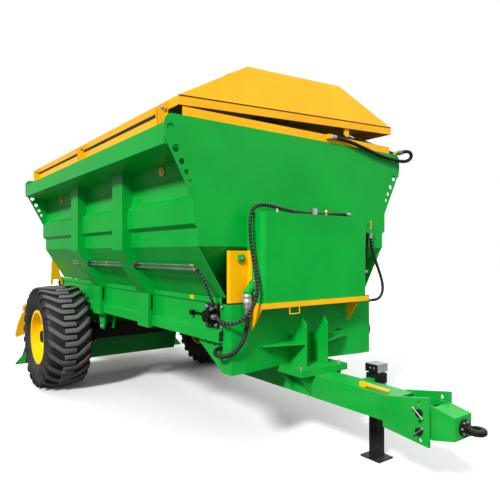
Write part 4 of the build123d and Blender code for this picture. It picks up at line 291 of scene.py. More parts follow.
def new_group(name, inputs, outputs):
    """Shader group with named number sockets, and its inner ends."""
    group = bpy.data.node_groups.new(name, "ShaderNodeTree")
    for title, default in inputs:
        socket = group.interface.new_socket(name=title, in_out="INPUT", socket_type="NodeSocketFloat")
        socket.default_value = default
    for title in outputs:
        group.interface.new_socket(name=title, in_out="OUTPUT", socket_type="NodeSocketFloat")
    enter = group.nodes.new("NodeGroupInput")
    leave = group.nodes.new("NodeGroupOutput")
    return group, enter.outputs, leave.inputs


def dust_group():
    """Dust that gathers low on the machine and on faces that look up."""
    inputs = [("Amount", 0.5), ("Reach", 1.2), ("Scale", 6.0)]
    group, enter, leave = new_group("Settled Dust", inputs, ["Mask"])
    place = object_place(group)
    low_down = math_node(group, "DIVIDE", upward(group, place), enter["Reach"])
    low_down = math_node(group, "SUBTRACT", 1.0, low_down, clamp=True)
    shape = group.nodes.new("ShaderNodeNewGeometry")
    facing_up = math_node(group, "MAXIMUM", upward(group, shape.outputs["Normal"]), 0.0)
    both = math_node(group, "ADD", low_down, math_node(group, "MULTIPLY", facing_up, 0.35))
    coarse = noise(group, place, enter["Scale"], detail=7.0, roughness=0.62)
    mask = math_node(group, "MULTIPLY", both, ramp(group, coarse, 0.38, 0.72))
    mask = math_node(group, "MULTIPLY", mask, enter["Amount"], clamp=True)
    group.links.new(mask, leave["Mask"])


def edge_group():
    """Mask of the edges: where paint is rubbed thin on painted metal, and where rubber gets a painted highlight.
    """
    group, enter, leave = new_group("Rubbed Edges And Edge Highlights", [("Width", 0.006), ("Amount", 0.5)], ["Mask"])
    rounded = add(group, "ShaderNodeBevel", samples=4)
    group.links.new(enter["Width"], rounded.inputs["Radius"])
    shape = group.nodes.new("ShaderNodeNewGeometry")
    dot = vector_math(group, "DOT_PRODUCT", rounded.outputs["Normal"], shape.outputs["Normal"])
    bent = ramp(group, dot, 0.985, 0.80)
    patch = noise(group, object_place(group), 9.0, detail=6.0, roughness=0.7)
    mask = math_node(group, "MULTIPLY", bent, ramp(group, patch, 0.36, 0.66))
    mask = math_node(group, "MULTIPLY", mask, enter["Amount"], clamp=True)
    group.links.new(mask, leave["Mask"])


def skin_group():
    """Fine skin of sprayed paint or cast metal: a height and a cloudiness."""
    inputs = [("Grain", 260.0), ("Wave", 3.0)]
    group, enter, leave = new_group("Sprayed Skin", inputs, ["Height", "Cloud"])
    place = object_place(group)
    fine = noise(group, place, enter["Grain"], detail=2.0)
    wide = noise(group, place, enter["Wave"], detail=5.0, roughness=0.55)
    sheet = math_node(group, "MULTIPLY", wide, 3.0)
    height = math_node(group, "ADD", math_node(group, "MULTIPLY", fine, 0.12), sheet)
    group.links.new(height, leave["Height"])
    group.links.new(wide, leave["Cloud"])


def use(tree, name, **values):
    """Outputs of a named group in a material, with its own input values."""
    node = tree.nodes.new("ShaderNodeGroup")
    node.node_tree = bpy.data.node_groups[name]
    for key, value in values.items():
        node.inputs[key].default_value = value
    return node.outputs


# Finishes


def scaled(colour, factor):
    """Colour made lighter or darker."""
    return tuple(min(1.0, c * factor) for c in colour)


def material(name):
    """New material with its tree and its Principled shader."""
    finish = bpy.data.materials.new(name)
    finish.use_nodes = True
    tree = finish.node_tree
    shader = next(n for n in tree.nodes if n.type == "BSDF_PRINCIPLED")
    FINISHES[name] = finish
    return tree, shader


def bumped(tree, shader, height, strength, distance):
    """Bump from a height into the shader's normal."""
    bump = add(tree, "ShaderNodeBump", Strength=strength, Distance=distance)
    tree.links.new(height, bump.inputs["Height"])
    tree.links.new(bump.outputs["Normal"], shader.inputs["Normal"])


def roughened(tree, shader, mask, spread, base):
    """Roughness that a mask spreads upwards from a base."""
    rough = math_node(tree, "ADD", math_node(tree, "MULTIPLY", mask, spread), base, clamp=True)
    tree.links.new(rough, shader.inputs["Roughness"])


def dusted(tree, shader, colour, dust, **values):
    """Base colour under settled dust; gives the dust's mask."""
    mask = use(tree, "Settled Dust", **values)["Mask"]
    tree.links.new(mix_colours(tree, mask, colour, dust), shader.inputs["Base Color"])
    return mask


def paint(name, colour, dust, gloss=0.30, dirt=0.08, reach=0.9, coat=0.10):
    """Sprayed paint with a cloudy coat, rubbed edges and settled dust."""
    tree, shader = material(name)
    skin = use(tree, "Sprayed Skin", Grain=240.0, Wave=2.2)
    cloud = ramp(tree, skin["Cloud"], 0.30, 0.70)
    coat_colour = mix_colours(tree, cloud, scaled(colour, 0.90), scaled(colour, 1.08))
    edges = use(tree, "Rubbed Edges And Edge Highlights", Width=0.007, Amount=0.45)
    rubbed = tuple(0.85 * c + 0.05 for c in colour)
    worn = mix_colours(tree, edges["Mask"], coat_colour, rubbed)
    settled = dusted(tree, shader, worn, dust, Amount=dirt, Reach=reach, Scale=5.0)
    dull = math_node(tree, "ADD", math_node(tree, "MULTIPLY", cloud, 0.10), gloss)
    roughened(tree, shader, settled, 0.5, dull)
    shader.inputs["Specular IOR Level"].default_value = 0.14
    shader.inputs["Coat Weight"].default_value = coat
    shader.inputs["Coat Roughness"].default_value = 0.12
    bumped(tree, shader, skin["Height"], 0.10, 0.002)


def metal(name, colour, rough, grain=420.0, dirt=0.35):
    """Bare metal with fine streaks and dull stains."""
    tree, shader = material(name)
    skin = use(tree, "Sprayed Skin", Grain=grain, Wave=7.0)
    cloud = ramp(tree, skin["Cloud"], 0.32, 0.70)
    bare = mix_colours(tree, cloud, scaled(colour, 0.82), scaled(colour, 1.1))
    stains = dusted(tree, shader, bare, (0.16, 0.13, 0.10), Amount=dirt, Reach=1.6, Scale=9.0)
    tree.links.new(math_node(tree, "SUBTRACT", 1.0, stains), shader.inputs["Metallic"])
    roughened(tree, shader, cloud, 0.18, rough)
    bumped(tree, shader, skin["Height"], 0.12, 0.001)


def pale_lug_tops(tree, body):
    """Rubber that turns paler on the lug tops than in the grooves, by the distance from the axle."""
    reach = vector_math(tree, "SUBTRACT", object_place(tree), middle("tyre_right"))
    flat = vector_math(tree, "MULTIPLY", reach, (1.0, 0.0, 1.0))
    radius = extent("tyre_right").z / 2
    top = ramp(tree, vector_math(tree, "LENGTH", flat), 0.955 * radius, 0.99 * radius)
    return mix_colours(tree, top, body, (0.135, 0.135, 0.132))


def rubber(name, colour, dust, dirt=0.22, reach=1.0, grain=180.0, tread=False):
    """Matte rubber, dusty where it meets the ground, with a painted highlight along its edges."""
    tree, shader = material(name)
    skin = use(tree, "Sprayed Skin", Grain=grain, Wave=6.0)
    cloud = ramp(tree, skin["Cloud"], 0.30, 0.72)
    body = mix_colours(tree, cloud, scaled(colour, 0.7), scaled(colour, 1.35))
    if tread:
        # Lug tops paler than the grooves, by the distance from the axle.
        body = pale_lug_tops(tree, body)
    edges = use(tree, "Rubbed Edges And Edge Highlights", Width=0.008, Amount=0.35)
    # Painted highlight: the rubber's edges are made a lighter grey.
    edge_highlight = mix_colours(tree, edges["Mask"], body, (0.09, 0.09, 0.09))
    dusted(tree, shader, edge_highlight, scaled(dust, 0.55), Amount=dirt, Reach=reach, Scale=8.0)
    shader.inputs["Specular IOR Level"].default_value = 0.25
    roughened(tree, shader, cloud, 0.15, 0.52)
    bumped(tree, shader, skin["Height"], 0.25, 0.002)


def lens_plastic(name, colour):
    """Clear coloured plastic with the small prisms of a reflector."""
    tree, shader = material(name)
    prism = add(tree, "ShaderNodeTexVoronoi", Scale=170.0)
    tree.links.new(object_place(tree), prism.inputs["Vector"])
    cell = ramp(tree, prism.outputs["Distance"], 0.0, 0.7)
    body = mix_colours(tree, cell, scaled(colour, 1.15), scaled(colour, 0.7))
    dusted(tree, shader, body, (0.4, 0.36, 0.3), Amount=0.3, Reach=2.0, Scale=12.0)
    roughened(tree, shader, cell, 0.12, 0.10)
    shader.inputs["Coat Weight"].default_value = 0.6
    bumped(tree, shader, prism.outputs["Distance"], 0.3, 0.002)


# Modelling helpers


def clear_selection():
    """Object mode with nothing selected."""
    if bpy.context.object is not None and bpy.context.object.mode != "OBJECT":
        bpy.ops.object.mode_set(mode="OBJECT")
    bpy.ops.object.select_all(action="DESELECT")


def pick(*pieces):
    """Select these pieces, the first one active."""
    clear_selection()
    for piece in pieces:
        piece.select_set(True)
    bpy.context.view_layer.objects.active = pieces[0]


def label(name):
    """Name the piece that was just added."""
    piece = bpy.context.object
    piece.name = name
    piece.data.name = name
    return piece


def apply_place():
    """Put the picked piece's place, turn and scale into its mesh."""
    bpy.ops.object.transform_apply(location=True, rotation=True, scale=True)


def select_faces(piece, test):
    """Select the faces whose normal passes a test, in edit mode."""
    bpy.ops.object.mode_set(mode="EDIT")
    bpy.ops.mesh.select_mode(type="FACE")
    bpy.ops.mesh.select_all(action="DESELECT")
    bpy.ops.object.mode_set(mode="OBJECT")
    for face in piece.data.polygons:
        face.select = test(face.normal)
    bpy.ops.object.mode_set(mode="EDIT")


def mend(piece, gap=1e-5):
    """Merge doubles and point all faces outwards."""
    pick(piece)
    bpy.ops.object.mode_set(mode="EDIT")
    bpy.ops.mesh.select_all(action="SELECT")
    bpy.ops.mesh.remove_doubles(threshold=gap)
    bpy.ops.mesh.normals_make_consistent(inside=False)
    bpy.ops.object.mode_set(mode="OBJECT")


def modify(piece, kind, **values):
    """Add a modifier with these values and apply it."""
    pick(piece)
    modifier = piece.modifiers.new(kind.title(), kind)
    for key, value in values.items():
        setattr(modifier, key, value)
    bpy.ops.object.modifier_apply(modifier=modifier.name)


def round_edges(piece, width, segments, angle):
    """Round the edges that are sharper than an angle in degrees."""
    limit = math.radians(angle)
    modify(piece, "BEVEL", width=width, segments=segments, limit_method="ANGLE", angle_limit=limit)


def cut_away(piece, tool):
    """Cut a tool's shape out of a piece; the tool goes."""
    modify(piece, "BOOLEAN", object=tool, operation="DIFFERENCE", solver="EXACT")
    bpy.data.objects.remove(tool)


def join(pieces, name):
    """Several pieces made one."""
    pick(*pieces)
    if len(pieces) > 1:
        bpy.ops.object.join()
    return label(name)


def copies(master, matrices, name):
    """Copies of a master at each matrix, each with its own mesh, joined; the master goes."""
    made = []
    for matrix in matrices:
        copy = master.copy()
        copy.data = master.data.copy()
        copy.data.transform(matrix)
        if matrix.determinant() < 0:
            copy.data.flip_normals()
        bpy.context.collection.objects.link(copy)
        made.append(copy)
    bpy.data.objects.remove(master)
    return join(made, name)


def settle(piece, body, slot, finish=None, smooth=35.0, replaced=()):
    """Apply the place, set the slot's or another finish and let the piece ride on its body."""
    pick(piece)
    apply_place()
    piece.data.materials.clear()
    piece.data.materials.append(FINISHES[finish or slot])
    bpy.ops.object.shade_smooth_by_angle(angle=math.radians(smooth))
    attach(piece, body)
    if replaced:
        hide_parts(*replaced)
    clear_selection()


def facing(place, axis, turn=0.0):
    """Matrix that takes +Z to an axis at a place, with a turn about that axis."""
    swing = Vector((0, 0, 1)).rotation_difference(Vector(axis)).to_matrix().to_4x4()
    return Matrix.Translation(Vector(place)) @ swing @ Matrix.Rotation(turn, 4, "Z")


def ring(count, radius, start=0.0):
    """Places round a circle as pairs of lengths, from a share of the pitch on."""
    for index in range(count):
        angle = math.tau * (index + start) / count
        yield radius * math.cos(angle), radius * math.sin(angle)


# Name, sides, and radius, depth and height of the middle as shares of the head's radius
BOLT_PARTS = (
    ("washer", 18, 1.38, 0.24, 0.12),
    ("head", 6, 1.0, 0.8, 0.64),
    ("stud", 10, 0.52, 0.35, 1.2),
)
HEAD_BEVEL = 0.12
# Turn from one bolt of a set to the next, in radians
BOLT_TURN = 0.4


def hex_bolt(radius):
    """One hexagon head with its washer and stud end, standing on the origin along +Z."""
    parts = []
    for name, sides, width, depth, rise in BOLT_PARTS:
        clear_selection()
        bpy.ops.mesh.primitive_cylinder_add(
            vertices=sides, radius=width * radius, depth=depth * radius, location=(0, 0, rise * radius)
        )
        part = label(name)
        apply_place()
        if name == "head":
            select_faces(part, lambda normal: normal.z > 0.9)
            bpy.ops.mesh.bevel(offset=HEAD_BEVEL * radius, segments=1, affect="EDGES")
            bpy.ops.object.mode_set(mode="OBJECT")
        parts.append(part)
    return join(parts, "bolt")


def bolt_set(name, radius, places, body):
    """Steel bolts of one size at places with axes, as one piece."""
    matrices = [facing(place, axis, BOLT_TURN * index) for index, (place, axis) in enumerate(places)]
    settle(copies(hex_bolt(radius), matrices, name), body, "bright_steel")


def turned(name, profile, sides=24):
    """Solid turned about +Z from a profile of radius and height."""
    clear_selection()
    radius, height = profile[0]
    bpy.ops.mesh.primitive_circle_add(
        vertices=sides, radius=radius, fill_type="NGON", location=(0, 0, height)
    )
    piece = label(name)
    apply_place()
    bpy.ops.object.mode_set(mode="EDIT")
    bpy.ops.mesh.select_all(action="SELECT")
    for (radius, height), (next_radius, next_height) in zip(profile, profile[1:]):
        bpy.ops.mesh.extrude_region_move(TRANSFORM_OT_translate={"value": (0, 0, next_height - height)})
        ratio = next_radius / radius
        bpy.ops.transform.resize(value=(ratio, ratio, 1), center_override=(0, 0, 0))
    bpy.ops.object.mode_set(mode="OBJECT")
    mend(piece)
    return piece


def bevelled_box(name, size, place, bevel, turn=0.0, segments=2):
    """Box with rounded edges, turned about X, its middle at a place."""
    clear_selection()
    bpy.ops.mesh.primitive_cube_add(size=1)
    piece = label(name)
    piece.data.transform(Matrix.Diagonal((*size, 1.0)))
    round_edges(piece, bevel, segments, angle=60)
    piece.data.transform(Matrix.Translation(Vector(place)) @ Matrix.Rotation(turn, 4, "X"))
    return piece


def wire_ring(name, width, height, wire, place):
    """Oblong ring of square wire that stands across X."""
    clear_selection()
    bpy.ops.mesh.primitive_plane_add(size=1)
    piece = label(name)
    piece.data.transform(Matrix.Diagonal((height, width, 1.0, 1.0)))
    modify(piece, "WIREFRAME", thickness=wire, use_boundary=True, use_replace=True)
    piece.data.transform(facing(place, (1, 0, 0)))
    mend(piece)
    return piece


def new_curve(name, kind, points, radius, fineness):
    """Curve of one open spline through or near points, with closed ends."""
    line = bpy.data.curves.new(name, "CURVE")
    line.dimensions = "3D"
    line.bevel_depth = radius
    line.bevel_resolution = fineness
    line.use_fill_caps = True
    spline = line.splines.new(kind)
    spline.points.add(len(points) - 1)
    for point, place in zip(spline.points, points):
        point.co = (*place, 1.0)
    return line, spline


def hose_line(hose, radius):
    """NURBS curve along a hose's route."""
    route = [at(*point) for point in hose["route"]]
    line, spline = new_curve(hose["name"] + "_line", "NURBS", route, radius, fineness=5)
    line.resolution_u = 8
    spline.use_endpoint_u = True
    spline.order_u = 3
    return line


# Operators


class SPREADER_OT_hoses(Operator):
    """Lay the hoses along their routes, from fitting to fitting"""

    bl_idname = "spreader.hoses"
    bl_label = "Hoses"

    def execute(self, context):
        for hose in HOSES:
            line = hose_line(hose, hose["diameter"] / 2)
            piece = bpy.data.objects.new(hose["name"] + "_rubber", line)
            context.scene.collection.objects.link(piece)
            line.materials.append(FINISHES["hose_rubber"])
            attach(piece, "chassis")
            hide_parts(hose["name"])
        return {"FINISHED"}


class SPREADER_OT_paint(Operator):
    """Make the finishes and give one to every carried-over node"""

    bl_idname = "spreader.paint"
    bl_label = "Paint Nodes"

    WHEELS = ("rim_left", "rim_right")

    def execute(self, context):
        colours = context.scene.spreader_colours
        dust = tuple(colours.dust)
        dust_group()
        edge_group()
        skin_group()
        paint("green_paint", tuple(colours.green), dust, dirt=0.10, reach=1.0)
        paint("yellow_paint", tuple(colours.yellow), dust)
        paint("wheel_paint", tuple(colours.wheel), dust)
        paint("black_paint", tuple(colours.black), dust, gloss=0.42, dirt=0.05, reach=1.0, coat=0.05)
        rubber("tyre_rubber", tuple(colours.rubber), dust, tread=True)
        rubber("belt_rubber", (0.02, 0.02, 0.02), dust, dirt=0.5, reach=2.2)
        rubber("hose_rubber", (0.006, 0.006, 0.0065), dust, dirt=0.2, reach=1.5, grain=420.0)
        rubber("wrap_plastic", (0.10, 0.10, 0.105), dust, dirt=0.1, reach=1.5, grain=300.0)
        metal("bright_steel", (0.44, 0.44, 0.45), rough=0.40)
        metal("galvanised", (0.62, 0.65, 0.68), rough=0.42, grain=90.0)
        metal("chrome", (0.82, 0.83, 0.85), rough=0.10, dirt=0.1)
        metal("brass", (0.80, 0.52, 0.18), rough=0.25, dirt=0.2)
        lens_plastic("lamp_lens", (0.55, 0.012, 0.008))
        lens_plastic("reflector", (1.0, 0.40, 0.015))
        slots = {entry["node"]: entry["material_slot"] for entry in frame["record"]["subparts"]}
        for name, node in NODES.items():
            finish = FINISHES.get("wheel_paint" if name in self.WHEELS else slots[name])
            if finish is None:
                raise RuntimeError("no finish for the slot of " + name)
            node.data.materials.clear()
            node.data.materials.append(finish)
        return {"FINISHED"}


class SPREADER_OT_tyres(Operator):
    """Model the flotation tyres with their rows of angled lugs"""

    bl_idname = "spreader.tyres"
    bl_label = "Tyres"

    # Half section from bead to crown: distance from the middle and height, as shares of half width and radius
    SECTION = (
        (0.815, 0.490), (0.815, 0.535), (0.850, 0.552), (0.920, 0.605), (0.972, 0.680),
        (0.985, 0.760), (0.968, 0.830), (0.925, 0.888), (0.860, 0.922), (0.740, 0.938),
    )
    CROWN = 0.945
    STEPS = 112

    # Lug stations from sidewall to past the middle: across, height, lead along the tread in metres, width
    LUG = (
        (0.988, 0.760, 0.000, 0.050),
        (0.998, 0.845, 0.000, 0.056),
        (0.985, 0.915, 0.004, 0.060),
        (0.925, 0.962, 0.012, 0.062),
        (0.800, 0.983, 0.032, 0.060),
        (0.560, 0.992, 0.082, 0.056),
        (0.340, 0.998, 0.124, 0.052),
        (0.240, 1.000, 0.132, 0.050),
        (-0.240, 1.000, 0.132, 0.046),
    )
    ROOT = 0.010
    LUG_EDGE = 0.004

    def carcass(self, half, radius):
        section = [(a * half, b * radius) for a, b in self.SECTION]
        section.append((0.0, self.CROWN * radius))
        outline = section + [(-a, b) for a, b in section[-2::-1]]
        clear_selection()
        bpy.ops.mesh.primitive_circle_add(vertices=len(outline), radius=radius)
        tyre = label("carcass")
        for vertex, (across, height) in zip(tyre.data.vertices, outline):
            vertex.co = (0.0, across, height)
        bpy.ops.object.mode_set(mode="EDIT")
        bpy.ops.mesh.select_all(action="SELECT")
        bpy.ops.mesh.spin(steps=self.STEPS, angle=math.tau, center=(0, 0, 0), axis=(0, 1, 0))
        bpy.ops.object.mode_set(mode="OBJECT")
        mend(tyre, gap=1e-4)
        return tyre

    def lug(self, half, radius, height):
        clear_selection()
        last = len(self.LUG) - 1
        bpy.ops.mesh.primitive_grid_add(x_subdivisions=last, y_subdivisions=1, size=1)
        strip = label("lug")
        for vertex in strip.data.vertices:
            across, top, lead, width = self.LUG[round((vertex.co.x + 0.5) * last)]
            side = 1 if vertex.co.y > 0 else -1
            angle = (lead + side * width / 2) / radius
            vertex.co = (math.sin(angle) * top * radius, across * half, math.cos(angle) * top * radius)
        mend(strip)
        if sum(face.normal.z for face in strip.data.polygons) < 0:
            strip.data.flip_normals()
        modify(strip, "SOLIDIFY", thickness=height + self.ROOT, offset=-1, use_even_offset=False)
        round_edges(strip, self.LUG_EDGE, segments=2, angle=50)
        mend(strip)
        return strip

    def execute(self, context):
        sizes = context.scene.spreader_sizes
        pitch = math.tau / sizes.lug_count
        for side, _ in SIDES:
            node = "tyre_" + side
            half, radius = extent(node).y / 2, extent(node).z / 2
            tyre = self.carcass(half, radius)
            turns = []
            for index in range(sizes.lug_count):
                turns.append(Matrix.Rotation((index + 0.5) * pitch, 4, "Y"))
                turns.append(Matrix.Rotation(index * pitch, 4, "Y") @ Matrix.Scale(-1, 4, (0, 1, 0)))
            lugs = copies(self.lug(half, radius, sizes.lug_height), turns, "lugs_" + side)
            piece = join([tyre, lugs], "flotation_tyre_" + side)
            piece.data.transform(Matrix.Translation(middle(node)))
            settle(piece, "wheel_" + side, "tyre_rubber", smooth=40.0, replaced=[node])
        return {"FINISHED"}


class SPREADER_OT_wheel_nuts(Operator):
    """Ring of wheel nuts on each rim"""

    bl_idname = "spreader.wheel_nuts"
    bl_label = "Wheel Nuts"

    COUNT = 10
    CIRCLE = 0.1375
    DISH = 0.065

    def execute(self, context):
        nut = context.scene.spreader_sizes.wheel_nut
        for side, sign in SIDES:
            centre = middle("tyre_" + side)
            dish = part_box("hub_" + side)[0 if sign < 0 else 1].y - sign * self.DISH
            places = ring(self.COUNT, self.CIRCLE)
            nuts = [((centre.x + dx, dish, centre.z + dz), (0, sign, 0)) for dx, dz in places]
            bolt_set("wheel_nuts_" + side, nut, nuts, "wheel_" + side)
        return {"FINISHED"}


class SPREADER_OT_hose_ends(Operator):
    """Crimped ferrules with their nuts where hoses meet fittings"""

    bl_idname = "spreader.hose_ends"
    bl_label = "Hose Ends"

    # Hoses whose far end runs through a hole, with no fitting there
    THROUGH = ("hose_suction", "hose_left_drop")

    # Radius and height as shares of the hose's diameter
    NUT = ((0.70, 0.0), (0.78, 0.05), (0.78, 0.50), (0.70, 0.55))
    COLLAR = (
        (0.60, 0.50), (0.68, 0.55), (0.68, 0.85), (0.62, 0.88), (0.62, 0.98), (0.68, 1.00),
        (0.68, 1.35), (0.62, 1.38), (0.62, 1.48), (0.68, 1.50), (0.68, 1.75), (0.54, 1.80),
    )

    def execute(self, context):
        for hose in HOSES:
            route = [at(*point) for point in hose["route"]]
            ends = [(route[0], route[1] - route[0])]
            if hose["name"] not in self.THROUGH:
                ends.append((route[-1], route[-2] - route[-1]))
            size = hose["diameter"]
            nut = turned("nut", [(size * r, size * z) for r, z in self.NUT], 6)
            collar = turned("collar", [(size * r, size * z) for r, z in self.COLLAR])
            master = join([nut, collar], "ferrule")
            name = hose["name"].replace("hose", "ferrules")
            piece = copies(master, [facing(place, way) for place, way in ends], name)
            settle(piece, "chassis", "bright_steel")
        return {"FINISHED"}


class SPREADER_OT_frame_bolts(Operator):
    """Bolts of the bearings, flanges, base plate, springs and hinges"""

    bl_idname = "spreader.frame_bolts"
    bl_label = "Frame Bolts"

    WINDOW_ROW = (2.830, 2.900, 2.970, 3.040)
    WINDOW_HEIGHTS = (1.014, 1.157)
    WEB = 0.008
    BASE_ROW = (3.040, 3.290)
    BASE_Y = 0.205
    BEARING = (-0.065, 0.065)
    ROLLERS = (2.926, -0.930)
    ELBOW = (3.185, 1.305)
    FLANGE_CIRCLE = 0.046
    FLANGE_COUNT = 8
    EYE_CIRCLE = 0.036
    EYE_COUNT = 6
    FLANGE = 0.014
    CLAMP_X = (-0.086, 0.086)
    CLAMP_Y = (-0.051, 0.051)
    SPRING_Y = 0.695
    SPRING_EYES = (-0.640, 0.640)
    SPRING_EYE_Z = 0.742
    HINGES = (2.940, 1.240, -0.460)
    HINGE_HALF = 0.026

    def window_bolts(self):
        web = extent("cross_members").y / 2 + self.WEB
        for sign, along, up in product(SIGNS, self.WINDOW_ROW, self.WINDOW_HEIGHTS):
            yield at(along, sign * web, up), (0, sign, 0)

    def bearing_bolts(self):
        low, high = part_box("conveyor_rollers")
        up = (low.z + high.z) / 2
        for sign, roller, dx, dz in product(SIGNS, self.ROLLERS, self.BEARING, self.BEARING):
            yield at(roller + dx, sign * high.y, up + dz), (0, sign, 0)

    def base_bolts(self):
        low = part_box("front_bulkhead")[0].z
        for sign, along in product(SIGNS, self.BASE_ROW):
            yield at(along, sign * self.BASE_Y, low), (0, 0, 1)

    def flange_bolts(self):
        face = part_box("oil_tank")[0].y - self.FLANGE
        for dx, dz in ring(self.FLANGE_COUNT, self.FLANGE_CIRCLE, start=0.5):
            yield at(self.ELBOW[0] + dx, face, self.ELBOW[1] + dz), (0, -1, 0)

    def eye_bolts(self):
        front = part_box("hitch_block")[1].x + self.FLANGE
        up = middle("towing_eye").z
        for across, dz in ring(self.EYE_COUNT, self.EYE_CIRCLE):
            yield Vector((front, across, up + dz)), (1, 0, 0)

    def clamp_nuts(self):
        low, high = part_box("axle_clamps")
        for sign, dx, dy in product(SIGNS, self.CLAMP_X, self.CLAMP_Y):
            across = sign * self.SPRING_Y + dy
            yield at(dx, across, low.z), (0, 0, -1)
            yield at(dx, across, high.z), (0, 0, 1)

    def spring_nuts(self):
        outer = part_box("spring_hangers")[1].y
        for sign, along in product(SIGNS, self.SPRING_EYES):
            yield at(along, sign * outer, self.SPRING_EYE_Z), (0, sign, 0)

    def hinge_nuts(self):
        hinge = next(joint for joint in frame["joints"] if joint["name"] == "lid_hinge")
        across, up = hinge["pos_m"][1], hinge["pos_m"][2]
        for along, sign in product(self.HINGES, SIGNS):
            yield at(along + sign * self.HINGE_HALF, across, up), (sign, 0, 0)

    def execute(self, context):
        for name, radius, places in (
            ("window_bolts", 0.012, self.window_bolts()),
            ("bearing_bolts", 0.012, self.bearing_bolts()),
            ("base_plate_bolts", 0.013, self.base_bolts()),
            ("tank_flange_bolts", 0.007, self.flange_bolts()),
            ("towing_eye_bolts", 0.007, self.eye_bolts()),
            ("spring_clamp_nuts", 0.014, self.clamp_nuts()),
            ("spring_eye_nuts", 0.016, self.spring_nuts()),
            ("hinge_pin_nuts", 0.010, self.hinge_nuts()),
        ):
            bolt_set(name, radius, places, "chassis")
        return {"FINISHED"}


class SPREADER_OT_reflectors(Operator):
    """Amber reflectors on the hopper's sides and a blank tag on the chassis"""

    bl_idname = "spreader.reflectors"
    bl_label = "Reflectors"

    DISC = 0.040
    DISC_PROFILE = ((0.92, 0.0), (1.0, 0.12), (1.0, 0.30), (0.90, 0.42), (0.86, 0.36), (0.10, 0.40))
    PLACES = (2.520, -0.150)
    HEIGHT = 2.188
    WALL_Y = 0.9610
    TAG = (2.634, 1.206)
    TAG_SIZE = (0.052, 0.003, 0.030)
    TAG_BEVEL = 0.006
    TAG_INSET = 0.0215

    def execute(self, context):
        disc = turned("disc", [(self.DISC * r, self.DISC * z) for r, z in self.DISC_PROFILE], 32)
        discs = []
        for along, sign in product(self.PLACES, SIGNS):
            turn = Matrix.Rotation(-sign * math.pi / 2, 4, "X")
            discs.append(Matrix.Translation(at(along, sign * self.WALL_Y, self.HEIGHT)) @ turn)
        settle(copies(disc, discs, "side_reflectors"), "chassis", "lamp_lens", "reflector")

        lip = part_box("side_frames")[0].y
        place = at(self.TAG[0], lip + self.TAG_INSET, self.TAG[1])
        tag = bevelled_box("chassis_tag", self.TAG_SIZE, place, self.TAG_BEVEL, segments=3)
        settle(tag, "chassis", "yellow_paint")
        return {"FINISHED"}


class SPREADER_OT_hose_wraps(Operator):
    """Spiral wraps along the longer hoses"""

    bl_idname = "spreader.hose_wraps"
    bl_label = "Hose Wraps"

    WRAPPED = ("hose_motor_feed", "hose_motor_return", "hose_left_loop")
    PITCH = 0.026
    STEPS = 10
    BAND = 0.0030
    END = 0.065

    def middle_line(self, hose):
        line = hose_line(hose, 0.0)
        holder = bpy.data.objects.new("route", line)
        bpy.context.scene.collection.objects.link(holder)
        mesh = bpy.data.meshes.new_from_object(holder)
        points = [vertex.co.copy() for vertex in mesh.vertices]
        bpy.data.objects.remove(holder)
        bpy.data.curves.remove(line)
        bpy.data.meshes.remove(mesh)
        return points

    def coil(self, points, radius):
        whole = sum((b - a).length for a, b in zip(points, points[1:]))
        normal = (points[1] - points[0]).orthogonal()
        travelled = 0.0
        places = []
        for first, second in zip(points, points[1:]):
            way = (second - first).normalized()
            span = (second - first).length
            normal = (normal - way * normal.dot(way)).normalized()
            count = max(1, round(span * self.STEPS / self.PITCH))
            for index in range(count):
                along = travelled + span * index / count
                if self.END < along < whole - self.END:
                    turn = Quaternion(way, math.tau * along / self.PITCH)
                    places.append(first.lerp(second, index / count) + turn @ normal * radius)
            travelled += span
        return places

    def execute(self, context):
        for hose in HOSES:
            if hose["name"] not in self.WRAPPED:
                continue
            name = hose["name"].replace("hose", "wrap")
            places = self.coil(self.middle_line(hose), hose["diameter"] / 2)
            line, _ = new_curve(name, "POLY", places, self.BAND, fineness=0)
            piece = bpy.data.objects.new(name, line)
            context.scene.collection.objects.link(piece)
            pick(piece)
            bpy.ops.object.convert(target="MESH")
            wrap = label(name)
            mend(wrap)
            settle(wrap, "chassis", "hose_rubber", "wrap_plastic", smooth=60.0)
        return {"FINISHED"}


